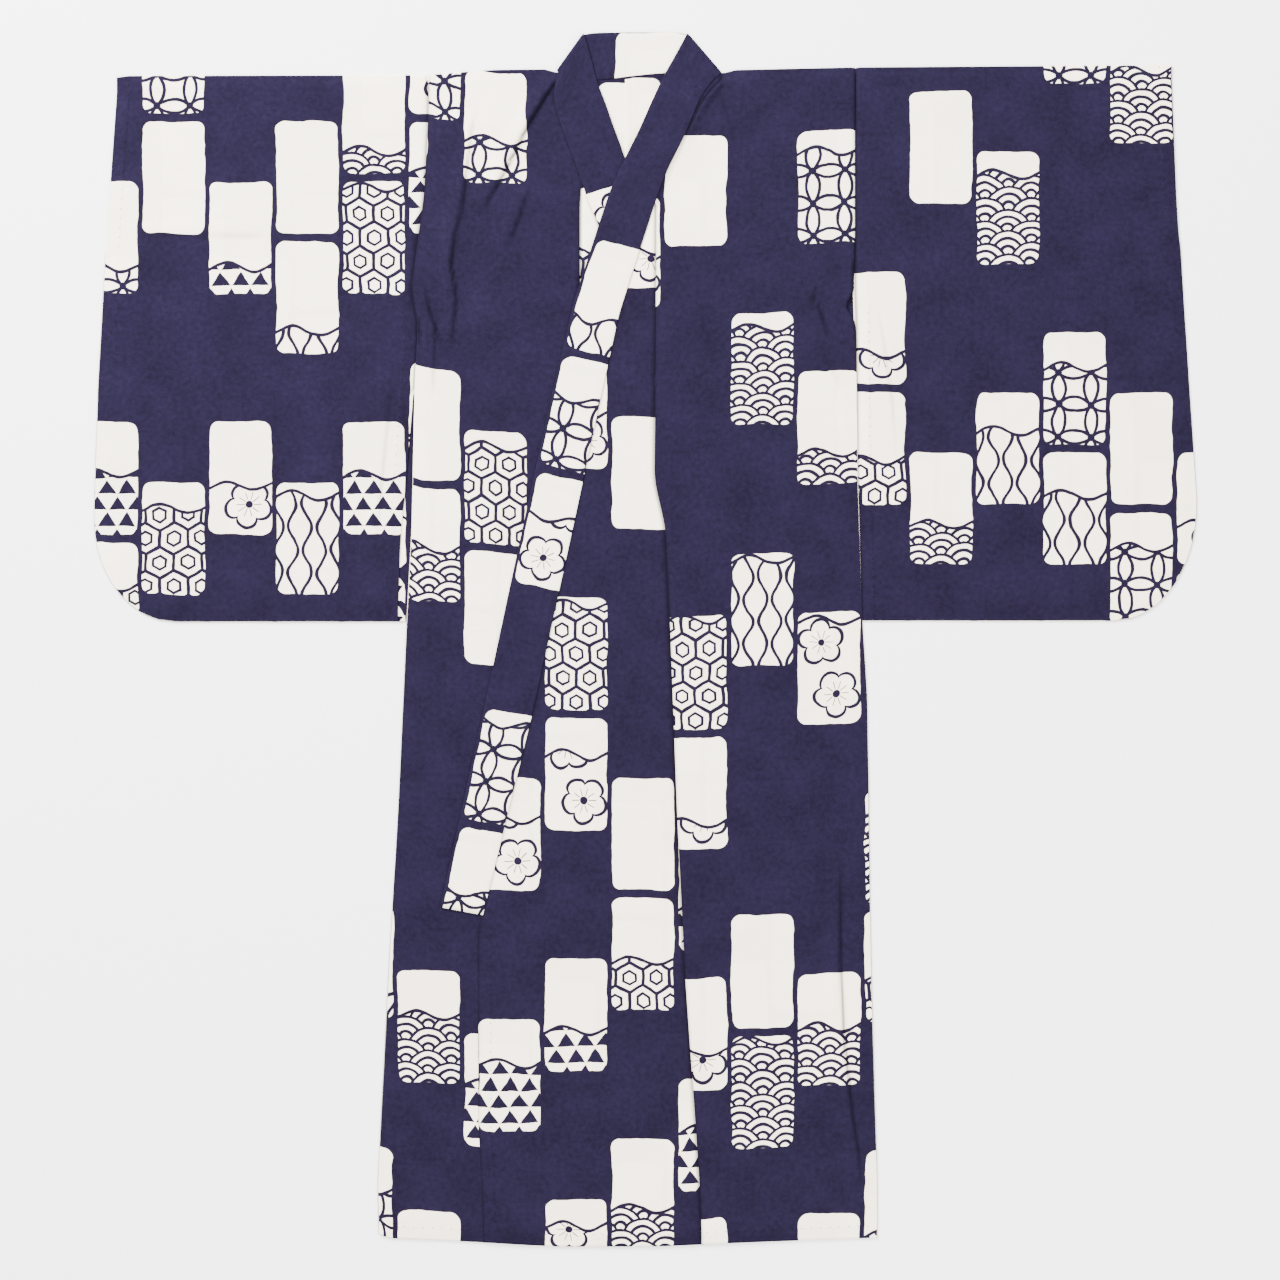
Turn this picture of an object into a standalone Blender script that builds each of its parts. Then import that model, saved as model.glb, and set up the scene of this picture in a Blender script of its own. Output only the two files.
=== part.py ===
"""Cotton yukata for a girl, laid flat with its front up, the left front over the right.

Each sewn piece is one cloth wall. The frame has +X to the viewer's right, +Y towards the neck
and +Z up. The origin is the middle of the outline, on the surface that the garment lies on.
Right and left are the wearer's, so the right half lies at -X.
"""

import math
from collections import namedtuple

import bpy
import numpy as np

# Cloth: one wall, the folded collar, the air between layers, and the gap at a seam
WALL = 0.0012
COLLAR_WALL = 0.0018
LAYER_GAP = 0.0005
SEAM_GAP = 0.0004

# The fronts lie on the backs, and the left front on the right one and its collar
FRONT_UNDERSIDE = WALL + LAYER_GAP
OVER_FRONT_RISE = WALL + LAYER_GAP
OVER_COLLAR_RISE = COLLAR_WALL + LAYER_GAP
DOUBLE_LAYER = 2 * WALL + LAYER_GAP

# Finished sizes
CUFF_OPENING = 0.183
COLLAR_WIDTH = 0.0505
BACK_HEM_SHORTER = 0.0015
SHOULDER_Y = 0.6020
HEM_Y = -0.6360
END_BEND = 0.060

# Grid steps down and across the pieces
LEVEL_STEP = 0.068
HIDDEN_STEP = 0.240
OKUMI_COLUMNS = 6
SLEEVE_COLUMNS = 9
CORNER_STEPS = 5
COLLAR_COLUMNS = 3
COLLAR_STEP = 0.070

Edge = namedtuple("Edge", "y x")
Outline = namedtuple("Outline", "x y")
Section = namedtuple("Section", "seam_x seam_y free_x free_y underside")
Fold = namedtuple("Fold", "y x rise")
Swell = namedtuple("Swell", "piece x y reach_x reach_y rise")
Half = namedtuple(
    "Half", "side neck_x sides okumi_seam okumi_front collar fold outer_columns inner_columns"
)
Sleeve = namedtuple("Sleeve", "half outer furi top bottom corner_x corner_y reach_x reach_y")

# Armholes and side seams, from the shoulder to the hem
RIGHT_SIDE = (
    Edge(0.6020, -0.2286),
    Edge(0.5507, -0.2296),
    Edge(0.4700, -0.2339),
    Edge(0.3690, -0.2480),
    Edge(0.3340, -0.2405),
    Edge(0.2740, -0.2437),
    Edge(0.1180, -0.2466),
    Edge(0.0200, -0.2519),
    Edge(-0.1900, -0.2614),
    Edge(-0.3490, -0.2709),
    Edge(-0.5720, -0.2825),
    Edge(-0.6360, -0.2814),
)
LEFT_SIDE = (
    Edge(0.6020, 0.2212),
    Edge(0.3690, 0.2212),
    Edge(0.3340, 0.2226),
    Edge(0.1680, 0.2240),
    Edge(0.0200, 0.2286),
    Edge(-0.0640, 0.2339),
    Edge(-0.3490, 0.2381),
    Edge(-0.5720, 0.2445),
    Edge(-0.6360, 0.2445),
)

# Seams between the fronts and the okumi, from the point at the collar to the hem
RIGHT_OKUMI_SEAM = (
    Edge(0.4820, -0.0669),
    Edge(0.4662, -0.0692),
    Edge(0.3690, -0.0692),
    Edge(0.0200, -0.0793),
    Edge(-0.6360, -0.0966),
)
LEFT_OKUMI_SEAM = (
    Edge(0.4641, 0.0111),
    Edge(0.2740, 0.0102),
    Edge(0.1680, 0.0090),
    Edge(0.1180, 0.0206),
    Edge(0.0200, 0.0254),
    Edge(-0.1900, 0.0333),
    Edge(-0.3490, 0.0411),
    Edge(-0.5720, 0.0565),
    Edge(-0.6360, 0.0597),
)
CENTRE_BACK = (Edge(0.6020, -0.0165), Edge(-0.6360, -0.0185))

# Free front edges of the okumi, from the collar's end to the hem
RIGHT_OKUMI_FRONT = (Edge(-0.2909, 0.1241), Edge(-0.6360, 0.1190))
LEFT_OKUMI_FRONT = (
    Edge(-0.2909, -0.1716),
    Edge(-0.2990, -0.1769),
    Edge(-0.5095, -0.1769),
    Edge(-0.6130, -0.1716),
    Edge(-0.6360, -0.1716),
)
OKUMI_TIP_DROP = 0.006

# Shoulder folds and the hem, from the wearer's right to left
SHOULDER = (
    Outline(-0.5581, 0.5947),
    Outline(-0.2286, 0.5955),
    Outline(-0.1684, 0.6010),
    Outline(-0.0980, 0.6018),
    Outline(0.0860, 0.6008),
    Outline(0.2212, 0.6038),
    Outline(0.5560, 0.6060),
)
HEM = (
    Outline(-0.2814, -0.6320),
    Outline(-0.1632, -0.6373),
    Outline(-0.1030, -0.6413),
    Outline(0.0111, -0.6413),
    Outline(0.0987, -0.6373),
    Outline(0.2445, -0.6320),
)

# Collar strip: its left stretch from the end up, the back neck, and its right stretch down
LEFT_COLLAR = (
    Section(-0.1716, -0.2909, -0.2170, -0.2825, 0.0034),
    Section(-0.1156, -0.0628, -0.1663, -0.0523, 0.0034),
    Section(-0.0977, 0.0216, -0.1484, 0.0322, 0.0034),
    Section(-0.0744, 0.1283, -0.1251, 0.1399, 0.0034),
    Section(-0.0470, 0.2561, -0.0966, 0.2687, 0.0034),
    Section(-0.0280, 0.3437, -0.0755, 0.3575, 0.0040),
    Section(0.0111, 0.4641, -0.0375, 0.4747, 0.0040),
    Section(0.0238, 0.4979, -0.0206, 0.5106, 0.0040),
    Section(0.0396, 0.5285, -0.0058, 0.5401, 0.0036),
    Section(0.0491, 0.5507, 0.0069, 0.5697, 0.0029),
    Section(0.0576, 0.5718, 0.0195, 0.5961, 0.0025),
    Section(0.0692, 0.5887, 0.0322, 0.6183, 0.0023),
    Section(0.0793, 0.5975, 0.0434, 0.6392, 0.0023),
)
NECK_COLLAR = (
    Section(0.0793, 0.5975, 0.0434, 0.6392, 0.0001),
    Section(0.0480, 0.5985, 0.0330, 0.6415, 0.0),
    Section(0.0153, 0.5986, 0.0120, 0.6415, 0.0),
    Section(-0.0180, 0.5950, -0.0180, 0.6415, 0.0),
    Section(-0.0520, 0.5903, -0.0480, 0.6415, 0.0),
    Section(-0.0740, 0.5930, -0.0590, 0.6405, 0.0),
    Section(-0.0925, 0.6000, -0.0645, 0.6392, 0.0001),
)
RIGHT_COLLAR = (
    Section(-0.0925, 0.6000, -0.0645, 0.6392, 0.0023),
    Section(-0.0955, 0.5850, -0.0565, 0.6119, 0.0021),
    Section(-0.0977, 0.5729, -0.0512, 0.5887, 0.0018),
    Section(-0.0913, 0.5491, -0.0428, 0.5687, 0.0017),
    Section(-0.0825, 0.5249, -0.0338, 0.5423, 0.0017),
    Section(-0.0723, 0.4990, -0.0243, 0.5169, 0.0017),
    Section(-0.0618, 0.4662, -0.0143, 0.4842, 0.0017),
    Section(-0.0491, 0.4367, -0.0005, 0.4525, 0.0017),
    Section(-0.0100, 0.3004, 0.0396, 0.3152, 0.0017),
    Section(0.0639, -0.0058, 0.1146, 0.0058, 0.0017),
    Section(0.1241, -0.2909, 0.1737, -0.2793, 0.0017),
)
NECK_CORNERS = (Outline(-0.0948, 0.5975), Outline(0.0830, 0.5960))

# The deepest fold of each front, down its length
RIGHT_FOLD = (
    Fold(0.6020, -0.1170, 0.0000),
    Fold(0.5729, -0.1190, 0.0026),
    Fold(0.5249, -0.1385, 0.0036),
    Fold(0.4700, -0.1640, 0.0030),
    Fold(0.4350, -0.1840, 0.0012),
    Fold(0.3960, -0.2060, 0.0028),
    Fold(0.3340, -0.2040, 0.0024),
    Fold(0.2740, -0.2000, 0.0000),
    Fold(0.0200, -0.1820, 0.0000),
    Fold(-0.6360, -0.1900, 0.0000),
)
LEFT_FOLD = (
    Fold(0.6020, 0.1500, 0.0000),
    Fold(0.4179, 0.1690, 0.0000),
    Fold(0.3690, 0.1750, 0.0030),
    Fold(0.3340, 0.1850, 0.0026),
    Fold(0.2740, 0.1950, 0.0000),
    Fold(-0.2400, 0.2030, 0.0000),
    Fold(-0.3000, 0.2055, 0.0024),
    Fold(-0.5200, 0.2215, 0.0022),
    Fold(-0.6360, 0.2250, 0.0000),
)
FOLD_HALF_WIDTH = 0.009
FOLD_FOOT = 0.18

# Low swells of the cloth between its folds
SWELLS = (
    Swell("sleeve_right", -0.410, 0.330, 0.100, 0.150, 0.0026),
    Swell("sleeve_right", -0.500, 0.130, 0.045, 0.070, 0.0016),
    Swell("sleeve_left", 0.390, 0.300, 0.100, 0.150, 0.0028),
    Swell("body_right", -0.160, 0.200, 0.050, 0.100, 0.0014),
    Swell("body_right", -0.225, -0.300, 0.035, 0.160, 0.0016),
    Swell("body_left", 0.100, 0.350, 0.050, 0.120, 0.0018),
    Swell("body_left", 0.120, -0.250, 0.050, 0.200, 0.0020),
    Swell("okumi_left", -0.060, -0.350, 0.060, 0.160, 0.0018),
)
CALM_EDGE = 0.12

# The left front slopes down past the edge of what lies under it
COVER_MARGIN = 0.005
COVER_RAMP = 0.042
COLLAR_RAMP = 0.026
COVER_CALM = 0.006

RIGHT = Half(
    -1, -0.0965, RIGHT_SIDE, RIGHT_OKUMI_SEAM, RIGHT_OKUMI_FRONT, RIGHT_COLLAR, RIGHT_FOLD, 3, 4
)
LEFT = Half(
    1, 0.0870, LEFT_SIDE, LEFT_OKUMI_SEAM, LEFT_OKUMI_FRONT, LEFT_COLLAR, LEFT_FOLD, 2, 6
)

# Outer edges of the sleeves, and the right one's inner edge below the armhole
RIGHT_SLEEVE_OUTER = (
    Edge(0.5951, -0.5581),
    Edge(0.4700, -0.5668),
    Edge(0.2740, -0.5776),
    Edge(0.1262, -0.5824),
)
LEFT_SLEEVE_OUTER = (
    Edge(0.6050, 0.5560),
    Edge(0.4700, 0.5615),
    Edge(0.3340, 0.5696),
    Edge(0.1420, 0.5824),
)
RIGHT_FURI = (
    Edge(0.2740, -0.2437),
    Edge(0.1473, -0.2540),
    Edge(0.1180, -0.2582),
    Edge(0.0195, -0.2614),
)
RIGHT_SLEEVE = Sleeve(
    RIGHT, RIGHT_SLEEVE_OUTER, RIGHT_FURI, 0.5951, 0.0195, -0.4968, 0.1262, 0.0856, 0.1067
)
LEFT_SLEEVE = Sleeve(
    LEFT, LEFT_SLEEVE_OUTER, (), 0.6050, 0.0205, 0.4958, 0.1420, 0.0866, 0.1215
)

# Dyed cotton
NAVY = (0.042, 0.036, 0.088, 1.0)
COTTON_ROUGHNESS = 0.85


def remove_everything():
    """Remove all the objects of the file."""
    for found in list(bpy.data.objects):
        bpy.data.objects.remove(found, do_unlink=True)


def between(rows, place):
    """Second column of a table at a place in its first column."""
    table = np.array(sorted(rows), dtype=float)
    return np.interp(place, table[:, 0], table[:, 1])


def seam_edge(sections):
    """Seam edge of a stretch of the collar, as rows of y and x."""
    return [Edge(section.seam_y, section.seam_x) for section in sections]


def free_edge(sections):
    """Free edge of a stretch of the collar, as rows of y and x."""
    return [Edge(section.free_y, section.free_x) for section in sections]


def front_seam(half):
    """Seam edge of a front: along the collar from the neck, then along the okumi."""
    tip = half.okumi_seam[0].y
    along_collar = [row for row in seam_edge(half.collar) if tip < row.y < SHOULDER_Y - 0.010]
    return [Edge(SHOULDER_Y, half.neck_x)] + along_collar + list(half.okumi_seam)


def levels_through(rows, top, bottom, step):
    """Heights from top to bottom that meet every row between them and are at most a step apart."""
    inside = {row.y for row in rows if bottom < row.y < top}
    keys = sorted(inside | {top, bottom}, reverse=True)
    levels = [top]
    for upper, lower in zip(keys, keys[1:]):
        parts = max(1, math.ceil((upper - lower) / step))
        levels.extend(upper + (lower - upper) * part / parts for part in range(1, parts + 1))
    return np.array(levels)


def ease(value):
    """Smooth step: 0 below 0, 1 above 1, and level at both ends."""
    held = np.clip(value, 0.0, 1.0)
    return held * held * (3.0 - 2.0 * held)


def spread(left, right, shares):
    """Columns at even shares between a left and a right line."""
    return left[:, None] + (right - left)[:, None] * shares[None, :]


def bend_ends(x, y, outline, nominal):
    """Heights moved so that the row at the nominal height follows an outline."""
    weight = np.clip(1.0 - np.abs(y - nominal) / END_BEND, 0.0, 1.0)
    return y + (between(outline, x) - nominal) * weight


def cover_edge(y):
    """x of the outer edge of what lies under the left front: the right collar and okumi."""
    end = RIGHT_COLLAR[-1]
    under = free_edge(RIGHT_COLLAR)
    under.append(Edge(end.seam_y - 0.004, end.free_x))
    under.append(Edge(end.seam_y - 0.030, end.seam_x))
    under.append(Edge(HEM_Y, RIGHT_OKUMI_FRONT[-1].x))
    return between(under, y)


def left_underside(x, y):
    """Underside of the left front, lifted by the right front, okumi and collar below it."""
    beyond = x - cover_edge(y)
    covering = 1.0 - ease((beyond - COVER_MARGIN) / COVER_RAMP)
    band = COLLAR_WIDTH + COVER_MARGIN + COLLAR_RAMP
    on_collar = ease((beyond + band) / COLLAR_RAMP)
    on_collar = on_collar * ease((y - RIGHT_COLLAR[-1].seam_y + 0.050) / 0.040)
    extra = (OVER_COLLAR_RISE - OVER_FRONT_RISE) * on_collar
    return FRONT_UNDERSIDE + covering * (OVER_FRONT_RISE + extra)


def under_left_front(x, y):
    """1 where the right front shows, falling to 0 where the left collar or okumi covers it."""
    collar_end = LEFT_COLLAR[0].seam_y
    covering = np.where(
        y > collar_end - END_BEND, between(free_edge(LEFT_COLLAR), y), between(LEFT_OKUMI_FRONT, y)
    )
    return ease((covering - COVER_CALM - x) / 0.022)


def swell_of(name, x, y):
    """Swells of one piece, each a low round hill that fades out at the piece's edges."""
    relief = np.zeros_like(x)
    for swell in SWELLS:
        if swell.piece == name:
            reach = ((x - swell.x) / swell.reach_x) ** 2 + ((y - swell.y) / swell.reach_y) ** 2
            relief = relief + swell.rise * np.exp(-reach)
    down = np.linspace(0.0, 1.0, x.shape[0])[:, None]
    across = np.linspace(0.0, 1.0, x.shape[1])[None, :]
    fade_down = ease(down / CALM_EDGE) * ease((1.0 - down) / CALM_EDGE)
    fade_across = ease(across / CALM_EDGE) * ease((1.0 - across) / CALM_EDGE)
    return relief * fade_down * fade_across


class Surface:
    """Open surface of one piece: points and four-sided faces, added grid by grid."""

    def __init__(self):
        self.points = []
        self.faces = []

    def add_points(self, x, y, z):
        """Add points, and give their numbers in the shape that they came in."""
        numbers = len(self.points) + np.arange(x.size).reshape(x.shape)
        heights = np.broadcast_to(z, x.shape)
        self.points.extend(zip(x.ravel(), y.ravel(), heights.ravel()))
        return numbers

    def add_faces(self, numbers, facing_up):
        """Add the faces of a grid of point numbers, rows going down and columns to the right."""
        corners = [numbers[:-1, :-1], numbers[1:, :-1], numbers[1:, 1:], numbers[:-1, 1:]]
        if not facing_up:
            corners.reverse()
        self.faces.extend(np.stack(corners, axis=-1).reshape(-1, 4).tolist())

    def roll_edge(self, front, back):
        """Join the front layer to the back one round an edge, walked anticlockwise.

        The turn is half of an octagon round the two walls, so its inner side stays open.
        """
        plan = np.array(self.points)[front][:, :2]
        walk = np.gradient(plan, axis=0)
        walk = walk / np.linalg.norm(walk, axis=1)[:, None]
        outward = np.stack([walk[:, 1], -walk[:, 0]], axis=1)
        middle = DOUBLE_LAYER / 2
        lean = middle * math.tan(math.pi / 8)
        rim = plan + outward * (middle - lean)
        upper = self.add_points(rim[:, 0], rim[:, 1], middle + lean)
        lower = self.add_points(rim[:, 0], rim[:, 1], middle - lean)
        self.add_faces(np.array([front, upper, lower, back]).T, False)


def cotton(name):
    """Plain dyed cotton."""
    material = bpy.data.materials.new(name)
    material.use_nodes = True
    shader = material.node_tree.nodes["Principled BSDF"]
    shader.inputs["Base Color"].default_value = NAVY
    shader.inputs["Roughness"].default_value = COTTON_ROUGHNESS
    shader.inputs["Metallic"].default_value = 0.0
    return material


def add_cloth(name, surface, wall, offset, collection):
    """Give a surface its wall and put it in the garment's collection."""
    mesh = bpy.data.meshes.new(name)
    mesh.from_pydata(surface.points, [], surface.faces)
    mesh.shade_smooth()
    mesh.materials.append(cotton(name + "_cotton"))
    cloth = bpy.data.objects.new(name, mesh)
    collection.objects.link(cloth)
    solidify = cloth.modifiers.new("Wall", "SOLIDIFY")
    solidify.thickness = wall
    solidify.offset = offset
    solidify.use_even_offset = True


def front_columns(half, levels):
    """Plan and fold height of a front: one column runs down its deepest fold."""
    seam = between(front_seam(half), levels) + half.side * SEAM_GAP
    outer = between(half.sides, levels)
    fold = between([(row.y, row.x) for row in half.fold], levels)
    rise = between([(row.y, row.rise) for row in half.fold], levels)
    near = fold - half.side * FOLD_HALF_WIDTH
    far = fold + half.side * FOLD_HALF_WIDTH
    inner = spread(seam, near, np.linspace(0.0, 1.0, half.inner_columns + 1))
    beyond = spread(far, outer, np.linspace(0.0, 1.0, half.outer_columns + 1))
    x = np.concatenate([inner, fold[:, None], beyond], axis=1)
    height = np.zeros_like(x)
    crest = half.inner_columns + 1
    height[:, crest] = rise
    height[:, crest - 1] = rise * FOLD_FOOT
    height[:, crest + 1] = rise * FOLD_FOOT
    y = np.repeat(levels[:, None], x.shape[1], axis=1)
    return x, y, height


def neckline(half):
    """Columns of a back panel at the neck: along the neck collar's seam to its corner."""
    corner = NECK_CORNERS[1] if half.side > 0 else NECK_CORNERS[0]
    points = [corner]
    for section in NECK_COLLAR[1:-1]:
        points.append(Outline(section.seam_x, section.seam_y - 2 * SEAM_GAP))
    return sorted(points)


def add_body(name, half, collection):
    """One half of the body: the front, the shoulder fold and the back, in one length."""
    rows = front_seam(half) + list(half.sides) + list(half.fold)
    levels = levels_through(rows, SHOULDER_Y, HEM_Y, LEVEL_STEP)
    x, y, height = front_columns(half, levels)
    y = bend_ends(x, y, HEM, HEM_Y)
    relief = height + swell_of(name, x, y)
    if half.side > 0:
        underside = left_underside(x, y)
    else:
        underside = FRONT_UNDERSIDE
        relief = relief * under_left_front(x, y)
    y = bend_ends(x, y, SHOULDER, SHOULDER_Y)
    surface = Surface()
    order = slice(None, None, half.side)
    front = surface.add_points(x[:, order], y[:, order], (underside + WALL + relief)[:, order])
    surface.add_faces(front, True)

    levels = levels_through(half.sides, SHOULDER_Y, HEM_Y, HIDDEN_STEP)
    centre = between(CENTRE_BACK, levels) + half.side * SEAM_GAP
    outer = between(half.sides, levels)
    neck = neckline(half)
    inside = [point.x for point in neck if half.side * (point.x - centre[0]) > 0.005]
    top = np.concatenate([[centre[0]], sorted(inside, key=abs), x[0]])
    back_x = spread(centre, outer, (top - centre[0]) / (outer[0] - centre[0]))
    back_y = np.repeat(levels[:, None], len(top), axis=1)
    at_neck = half.side * (top - x[0, 0]) < -0.0005
    edge = np.where(at_neck, between(neck, top), between(SHOULDER, top))
    weight = np.clip(1.0 - (SHOULDER_Y - levels) / END_BEND, 0.0, 1.0)
    back_y = back_y + weight[:, None] * (edge - SHOULDER_Y)[None, :]
    back_hem = [Outline(point.x, point.y + BACK_HEM_SHORTER) for point in HEM]
    back_y = bend_ends(back_x, back_y, back_hem, HEM_Y)
    back = surface.add_points(back_x[:, order], back_y[:, order], 0.0)
    surface.add_faces(back, False)
    count = x.shape[1]
    fold = back[0, -count:] if half.side > 0 else back[0, :count]
    surface.roll_edge(front[0, ::-1], fold[::-1])
    add_cloth(name, surface, WALL, -1.0, collection)


def add_okumi(name, half, collection):
    """Overlap panel: sewn to its front, slanted along the collar, free at its front edge."""
    tip = half.okumi_seam[0].y
    slant = [row for row in seam_edge(half.collar) if row.y < tip + 0.020]
    free = [row for row in half.okumi_front if row.y < half.collar[-1].seam_y - 0.001]
    rows = slant + list(half.okumi_front) + list(half.okumi_seam)
    levels = levels_through(rows, tip - OKUMI_TIP_DROP, HEM_Y, LEVEL_STEP)
    inner = between(slant + free, levels) + half.side * SEAM_GAP
    seam = between(half.okumi_seam, levels) - half.side * SEAM_GAP
    shares = np.linspace(0.0, 1.0, OKUMI_COLUMNS + 1)
    if half.side > 0:
        x = spread(inner, seam, shares)
    else:
        x = spread(seam, inner, shares)
    y = np.repeat(levels[:, None], len(shares), axis=1)
    y = bend_ends(x, y, HEM, HEM_Y)
    underside = left_underside(x, y) if half.side > 0 else FRONT_UNDERSIDE
    surface = Surface()
    panel = surface.add_points(x, y, underside + WALL + swell_of(name, x, y))
    surface.add_faces(panel, True)
    add_cloth(name, surface, WALL, -1.0, collection)


def add_sleeve(name, sleeve, collection):
    """Sleeve: one length folded at the top, closed round the bottom, open at cuff and armhole."""
    side = sleeve.half.side
    cuff_end = sleeve.top - CUFF_OPENING
    rows = list(sleeve.half.sides + sleeve.outer + sleeve.furi) + [Edge(cuff_end, 0.0)]
    straight = levels_through(rows, sleeve.top, sleeve.corner_y, LEVEL_STEP)
    turn = np.linspace(0.0, math.pi / 2, CORNER_STEPS + 1)[1:]
    drop = sleeve.corner_y - sleeve.bottom
    levels = np.concatenate([straight, sleeve.corner_y - drop * np.sin(turn)])
    corner = sleeve.corner_x + side * sleeve.reach_x * np.cos(turn)
    outer = np.concatenate([between(sleeve.outer, straight), corner])
    armhole = between(sleeve.half.sides, levels)
    furi = armhole
    if sleeve.furi:
        furi = np.where(levels > sleeve.furi[0].y, armhole, between(sleeve.furi, levels))
    shares = np.linspace(0.0, 1.0, SLEEVE_COLUMNS + 1)
    surface = Surface()
    layers = []
    for inner, facing_up in ((furi, True), (armhole, False)):
        x = spread(inner + side * SEAM_GAP, outer, shares)[:, ::side]
        y = np.repeat(levels[:, None], len(shares), axis=1)
        relief = swell_of(name, x, y) if facing_up else 0.0
        y = bend_ends(x, y, SHOULDER, sleeve.top)
        height = DOUBLE_LAYER + relief if facing_up else 0.0
        numbers = surface.add_points(x, y, height)
        surface.add_faces(numbers, facing_up)
        layers.append(numbers)
    surface.roll_edge(layers[0][0, ::-1], layers[1][0, ::-1])
    closed = levels <= cuff_end + 1e-6
    runs = []
    for layer in layers:
        if side > 0:
            runs.append(np.concatenate([layer[-1, :-1], layer[closed, -1][::-1]]))
        else:
            runs.append(np.concatenate([layer[closed, 0], layer[-1, 1:]]))
    surface.roll_edge(*runs)
    add_cloth(name, surface, WALL, -1.0, collection)


def collar_turn(upper, lower):
    """Rows that carry the collar round its fold at one side of the neck, half of an octagon."""
    line = upper[2:4] - upper[:2]
    line = line / np.hypot(*line)
    outward = np.array([line[1], -line[0]])
    if outward[0] * upper[0] < 0.0:
        outward = -outward
    radius = abs(upper[4] - lower[4]) / 2
    lean = radius * math.tan(math.pi / 8)
    middle = (upper[4] + lower[4]) / 2
    rows = []
    for height in (middle + lean, middle - lean):
        bulge = outward * (radius - lean)
        rows.append(np.concatenate([upper[:2] + bulge, upper[2:4] + bulge, [height]]))
    return rows


def add_collar(name, collection):
    """Collar: one folded strip from end to end, turned over at each side of the neck."""
    tables = [np.array(stretch, dtype=float) for stretch in (LEFT_COLLAR, NECK_COLLAR, RIGHT_COLLAR)]
    rows = []
    for table in tables:
        for start, end in zip(table, table[1:]):
            parts = max(1, math.ceil(np.hypot(*(end[:2] - start[:2])) / COLLAR_STEP))
            rows.extend(start + (end - start) * part / parts for part in range(parts))
        rows.append(table[-1])
        if table is tables[0]:
            rows.extend(collar_turn(table[-1], tables[1][0]))
        if table is tables[1]:
            rows.extend(reversed(collar_turn(tables[2][0], table[-1])))
    strip = np.array(rows)
    shares = np.linspace(0.0, 1.0, COLLAR_COLUMNS + 1)
    x = spread(strip[:, 0], strip[:, 2], shares)
    y = spread(strip[:, 1], strip[:, 3], shares)
    z = np.repeat(strip[:, [4]] + COLLAR_WALL / 2, len(shares), axis=1)
    surface = Surface()
    surface.add_faces(surface.add_points(x, y, z), False)
    add_cloth(name, surface, COLLAR_WALL, 0.0, collection)


def build_yukata():
    """Make every sewn piece."""
    remove_everything()
    collection = bpy.data.collections.new("cotton_yukata")
    bpy.context.scene.collection.children.link(collection)
    add_body("body_right", RIGHT, collection)
    add_body("body_left", LEFT, collection)
    add_okumi("okumi_right", RIGHT, collection)
    add_okumi("okumi_left", LEFT, collection)
    add_sleeve("sleeve_right", RIGHT_SLEEVE, collection)
    add_sleeve("sleeve_left", LEFT_SLEEVE, collection)
    add_collar("collar", collection)


build_yukata()
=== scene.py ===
"""Girl's cotton yukata, laid flat with its front up on a pale table, seen from straight above."""

import math

import bpy
import numpy as np
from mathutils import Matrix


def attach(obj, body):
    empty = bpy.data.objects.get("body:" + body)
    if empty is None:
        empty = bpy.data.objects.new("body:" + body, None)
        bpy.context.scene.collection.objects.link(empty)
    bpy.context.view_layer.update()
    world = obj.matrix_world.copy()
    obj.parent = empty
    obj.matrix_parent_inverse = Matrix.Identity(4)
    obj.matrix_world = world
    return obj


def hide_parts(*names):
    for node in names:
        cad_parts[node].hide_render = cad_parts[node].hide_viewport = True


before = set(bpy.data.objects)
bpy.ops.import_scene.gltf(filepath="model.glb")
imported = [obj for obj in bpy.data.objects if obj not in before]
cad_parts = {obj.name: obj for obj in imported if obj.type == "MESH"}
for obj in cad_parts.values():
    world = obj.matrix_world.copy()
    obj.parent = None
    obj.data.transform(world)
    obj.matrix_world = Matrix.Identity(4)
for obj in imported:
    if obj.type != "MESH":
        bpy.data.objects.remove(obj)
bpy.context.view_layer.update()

# Table, camera and light. The yukata lies on a smooth pale board. The camera looks straight down
# through a long lens, and a wide soft window at the neck end lights the cloth with a weak shadow.
TABLE_SIZE = 12.0
TABLE_DEPTH = 0.0004
TABLE_WHITE = (0.93, 0.93, 0.93, 1.0)
PICTURE_PIXELS = 1280
PIXEL = 0.001056
PICTURE_MIDDLE = (-0.0058, -0.0005)
CLOTH_LEVEL = 0.003
LENS = 85.0
SENSOR = 36.0
ROOM_LIGHT = 2.3


def make_table():
    """A flat square far larger than the garment, just below it."""
    half = TABLE_SIZE / 2
    mesh = bpy.data.meshes.new("table")
    corners = [(-half, -half), (half, -half), (half, half), (-half, half)]
    mesh.from_pydata([(x, y, -TABLE_DEPTH) for x, y in corners], [], [(0, 1, 2, 3)])
    table = bpy.data.objects.new("table", mesh)
    bpy.context.scene.collection.objects.link(table)
    material = bpy.data.materials.new("pale_board")
    material.use_nodes = True
    shader = material.node_tree.nodes["Principled BSDF"]
    shader.inputs["Base Color"].default_value = TABLE_WHITE
    shader.inputs["Roughness"].default_value = 0.9
    shader.inputs["Specular IOR Level"].default_value = 0.1
    mesh.materials.append(material)


def make_camera():
    """Height from the lens: the picture's width over the sensor's, times the focal length."""
    width = PICTURE_PIXELS * PIXEL
    lens = bpy.data.cameras.new("camera")
    lens.lens = LENS
    lens.sensor_width = SENSOR
    lens.clip_start = 0.1
    lens.clip_end = 50.0
    camera = bpy.data.objects.new("camera", lens)
    camera.location = (*PICTURE_MIDDLE, width * LENS / SENSOR + CLOTH_LEVEL)
    bpy.context.scene.collection.objects.link(camera)
    bpy.context.scene.camera = camera


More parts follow.
